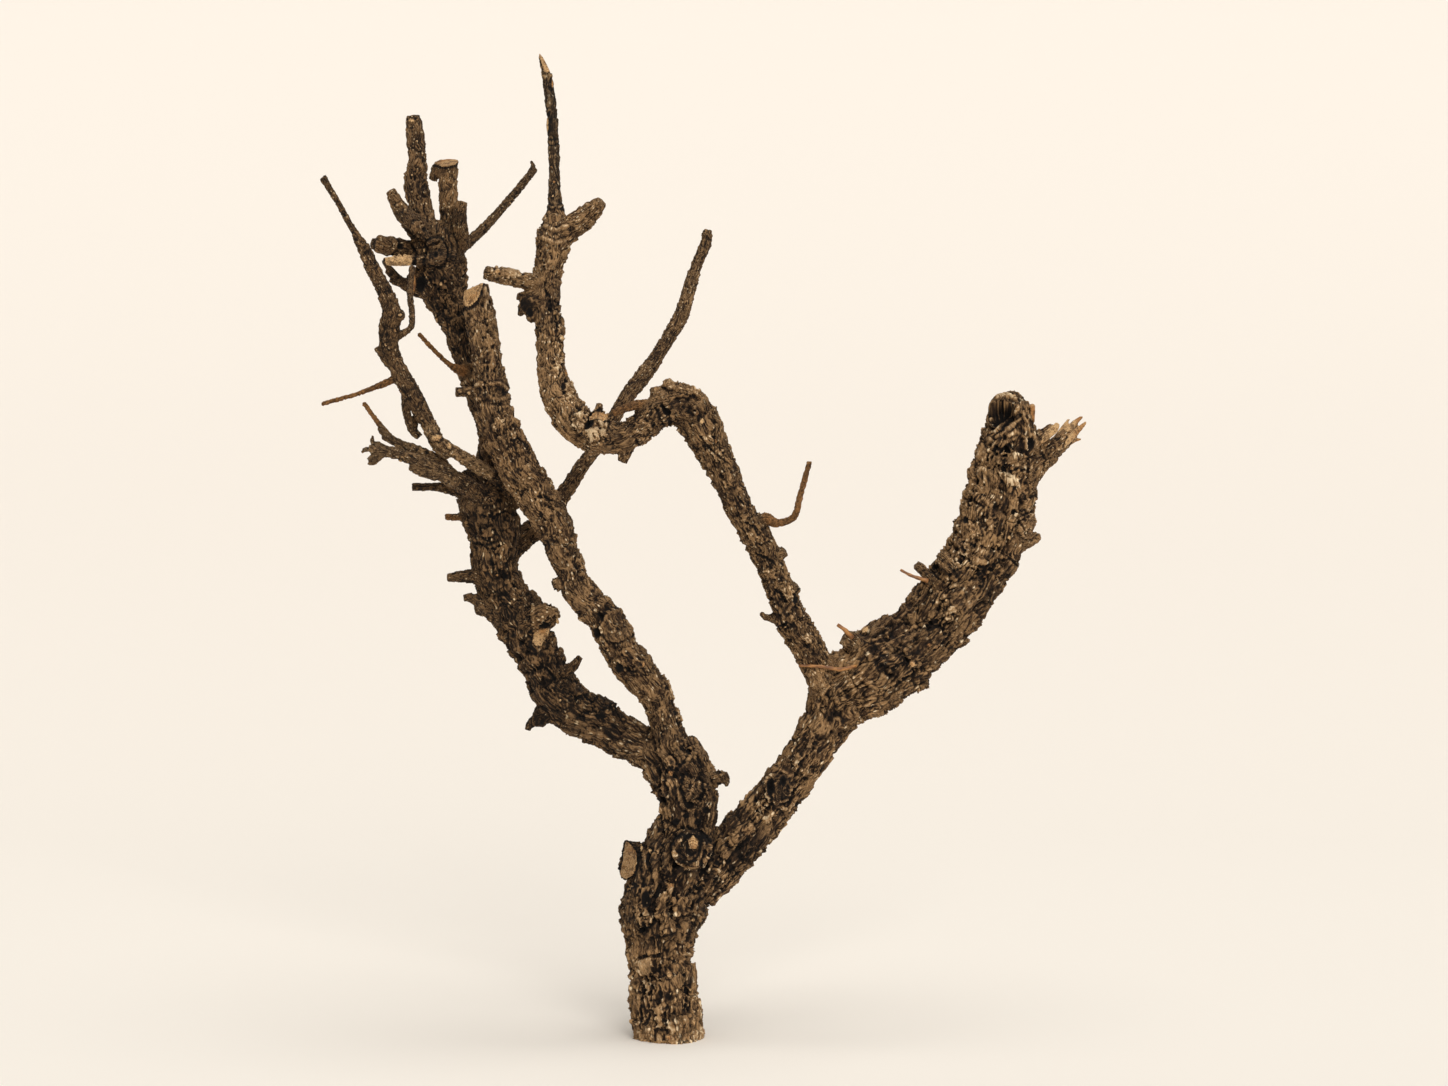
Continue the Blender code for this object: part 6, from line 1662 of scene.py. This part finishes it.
def branch_finish(name, colours, groups):
    """Bark with bare wood where it is cut or torn away."""
    material, shader, t = new_finish(name)

    def stored(key, output="Fac"):
        return t.node("ShaderNodeAttribute", attribute_name=key).outputs[output]

    grain, bare = stored("grain", "Vector"), stored("bare")
    crack, shade, body, worn, fleck, dry, pale, amber, stain = [paint(code) for code in colours]
    sockets = {key.title(): stored(key) for key in ("relief", "twig", "calm", "tint", "straw")}
    sockets |= {"Grain": grain, "Crack": crack, "Shade": shade, "Body": body, "Worn": worn, "Fleck": fleck}
    bark = t.node("ShaderNodeGroup", node_tree=groups["bark"])
    for key, value in (sockets | {"Dry": dry}).items():
        t.plug(bark.inputs[key], value)
    wood = t.node("ShaderNodeGroup", node_tree=groups["wood"])
    sockets = {"Grain": grain, "Pith": stored("pith"), "Pale": pale, "Amber": amber, "Stain": stain}
    for key, value in sockets.items():
        t.plug(wood.inputs[key], value)
    mask = t.ramp(bare, 0.35, 0.65)
    t.plug(shader.inputs["Base Color"], t.mix(mask, bark.outputs["Color"], wood.outputs["Color"]))
    t.plug(shader.inputs["Roughness"], t.blend(mask, bark.outputs["Roughness"], WOOD_ROUGHNESS))
    height = t.blend(mask, bark.outputs["Height"], wood.outputs["Height"])
    bump = t.node("ShaderNodeBump", {"Height": height, "Strength": 0.6, "Distance": 0.3 * MM})
    t.plug(shader.inputs["Normal"], bump.outputs["Normal"])
    shader.inputs["Specular IOR Level"].default_value = 0.3
    return material


def straw_finish():
    """Dry orange-brown straw with darker streaks."""
    material, shader, t = new_finish("dry straw")
    place = t.node("ShaderNodeTexCoord").outputs["Object"]
    streak = t.noise(t.vector("MULTIPLY", place, (300.0, 900.0, 900.0)), 1.0, 3.0, 0.6).outputs["Fac"]
    colour = t.mix(t.ramp(streak, 0.35, 0.65), paint("#6e4524"), paint("#b07a40"))
    t.plug(shader.inputs["Base Color"], colour)
    shader.inputs["Roughness"].default_value = 0.55
    bump = t.node("ShaderNodeBump", {"Height": streak, "Strength": 0.4, "Distance": 0.1 * MM})
    t.plug(shader.inputs["Normal"], bump.outputs["Normal"])
    return material


def finishes():
    groups = {"bark": bark_group(), "wood": wood_group()}
    woods = ["#a8743f", "#dfb681", "#b57f47", "#4a2f1a"]
    brown = ["#080402", "#291b10", "#49331f", "#b38c5f", "#ffe4ba", *woods]
    dark = ["#060301", "#1f140b", "#3b2816", "#a37d53", "#fbdeb0", *woods]
    grey = ["#0a0603", "#302216", "#563f28", "#bf996b", "#ffe8c2", *woods]
    return {
        "brown_bark": branch_finish("brown bark", brown, groups),
        "dark_bark": branch_finish("dark bark", dark, groups),
        "grey_bark": branch_finish("grey bark", grey, groups),
    }


# The set


def paper():
    """Pale paper with painted shade, a little darker towards the back."""
    material, shader, t = new_finish("paper")
    place = t.split(t.node("ShaderNodeTexCoord").outputs["Object"])
    back = t.ramp(place["Y"], 0.0, 2.2)
    t.plug(shader.inputs["Base Color"], t.mix(back, paint("#f9f3ea"), paint("#ebe4db")))
    shader.inputs["Roughness"].default_value = 0.9
    return material


def floor():
    """A pale floor that sweeps slowly up into a backdrop behind the branch."""
    made = bmesh.new()
    side, front, back, bend = 12.0, -12.0, 0.6, 3.6
    profile = [(front, 0.0), (back, 0.0)]
    profile += [(back + bend * math.sin(a), bend - bend * math.cos(a)) for a in np.linspace(0.04, 1.3, 26)]
    rows = [[made.verts.new((x, y, z)) for x in (-side, side)] for y, z in profile]
    for lower, upper in zip(rows, rows[1:]):
        made.faces.new((lower[0], lower[1], upper[1], upper[0]))
    mesh = mesh_of(made, "floor")
    mesh.shade_smooth()
    mesh.materials.append(paper())
    placed("floor", mesh)


def camera():
    """The photograph's view, level with the middle of the branch."""
    data = bpy.data.cameras.new("camera")
    data.sensor_width = SENSOR
    data.lens = SENSOR * VIEW_DISTANCE / VIEW_WIDTH
    data.clip_end = 20.0
    thing = placed("camera", data)
    thing.location = Vector((VIEW_ACROSS, -VIEW_DISTANCE, VIEW_UP)) * MM
    thing.rotation_euler = (math.pi / 2, 0, 0)
    bpy.context.scene.camera = thing


def sun(name, energy, spread, way, colour):
    data = bpy.data.lights.new(name, "SUN")
    data.energy = energy
    data.angle = math.radians(spread)
    data.color = colour
    placed(name, data).rotation_euler = Vector(way).to_track_quat("-Z", "Y").to_euler()


def lights():
    """A little even light from all round, a broad soft light from the front and another from above."""
    world = bpy.data.worlds.new("room")
    world.use_nodes = True
    glow = world.node_tree.nodes["Background"].inputs
    glow["Color"].default_value = (1.0, 0.985, 0.955, 1)
    glow["Strength"].default_value = 0.23
    bpy.context.scene.world = world
    warm = (1.0, 0.975, 0.94)
    sun("front light", 1.5, 30, (-0.22, 0.93, -0.4), warm)
    sun("top light", 1.7, 50, (-0.1, 0.2, -1.0), warm)
    bpy.context.scene.view_settings.view_transform = "Standard"


def grown_limbs():
    """The limbs and spurs, which the bark follows, and the ridges and splinters that are only wood."""
    limbs = [Limb(*row) for row in LIMBS]
    straw = [0.0] * len(limbs)
    for node, rows in SPURS.items():
        limbs += [Limb(row, 31 + count, 1.0, [(node, None)]) for count, row in enumerate(rows)]
        straw += [SHOOTS.get((node, count), 0.0) for count in range(len(rows))]
    ridges = [Limb(row, 61 + count, 1.0, [("trunk", None)]) for count, row in enumerate(TRUNK_RIDGES)]
    for node, rows in FINGERS.items():
        limbs += [Limb(row, 91 + count, 1.0, [(node, None)]) for count, row in enumerate(rows)]
        straw += [0.0] * len(rows)
    splinters = []
    for node, rows in SPLINTERS.items():
        splinters += [Limb(row, 71 + count, 1.0, [(node, None)]) for count, row in enumerate(rows)]
    return limbs, straw, ridges, splinters


def main():
    limbs, straw, ridges, splinters = grown_limbs()
    followed = limbs + splinters
    points, faces = grown_together(followed + ridges)
    points = soften(points, faces, 1)
    bark = Bark(points, followed)
    owner = node_numbers(bark, followed)
    points, cuts = saw(points, owner)
    points, hollow = carve_hollow(points, owner)
    normals = normals_of(points, faces)
    marks = Marks(points, normals, owner)
    marks.draw_all()
    for cut, flat, bare, rim in cuts:
        marks.tint[rim & ~cut] -= RIM_SHADE
        marks.calm[cut] = np.maximum(marks.calm[cut], min(1, 0.3 + bare))
        marks.bare[cut] = np.maximum(marks.bare[cut], bare)
        marks.pith[cut] = flat[cut]
    torn = np.isin(bark.limb[0], np.arange(len(limbs), len(followed)))
    marks.bare[torn] = np.maximum(marks.bare[torn], TORN_BARE)
    marks.calm[torn] = TORN_CALM
    # The hollow is painted darker the deeper it goes, as rot and as painted shade
    marks.tint -= ROT_AND_PAINTED_SHADE * smoothstep(hollow, 0.8, 4.5)
    marks.tint += FOOT_LIGHT * smoothstep(points[:, 2], 6.0, 1.0)
    marks.straw = np.array(straw + [0.0] * len(splinters))[bark.limb[0]] * (1 - 2 * bark.fork)
    points = points + normals * marks.rise[:, None]
    thick = np.clip(bark.girth[0] / PLATE_RADIUS, 0.12, 1.2) ** PLATE_POWER
    values = {
        "grain_a": bark.grain[0],
        "grain_b": bark.grain[1],
        "fork": bark.fork,
        "thick": thick,
        "twig": smoothstep(bark.girth[0], 5.0, 2.5),
        "calm": np.clip(marks.calm, 0, 1),
    }
    raised, relief = raise_bark(points, faces, values)
    low = raised[:, 2] < FOOT_BAND
    raised[low, 2] = 0
    raised[:, 2] = np.maximum(raised[:, 2], 0)
    marks.pith[low] = np.linalg.norm(raised[low, :2], axis=1)
    marks.bare[points[:, 2] < 0.3] = 1
    shown = {"grain": bark.grain[0][faces].reshape(-1, 3), "relief": relief}
    shown |= {key: values[key] for key in ("twig", "calm")}
    shown |= {"bare": marks.bare, "pith": marks.pith, "tint": marks.tint, "straw": marks.straw}
    face_owner = settle(owner, faces)
    pieces = part_skin(raised, faces, face_owner, shown, normals_of(raised, faces), finishes())
    for node, piece in pieces.items():
        dress(piece, node)
    straw_paint = straw_finish()
    for node, rows in STRAWS.items():
        straw_piece(node, rows, straw_paint)
    camera()
    lights()
    floor()


main()
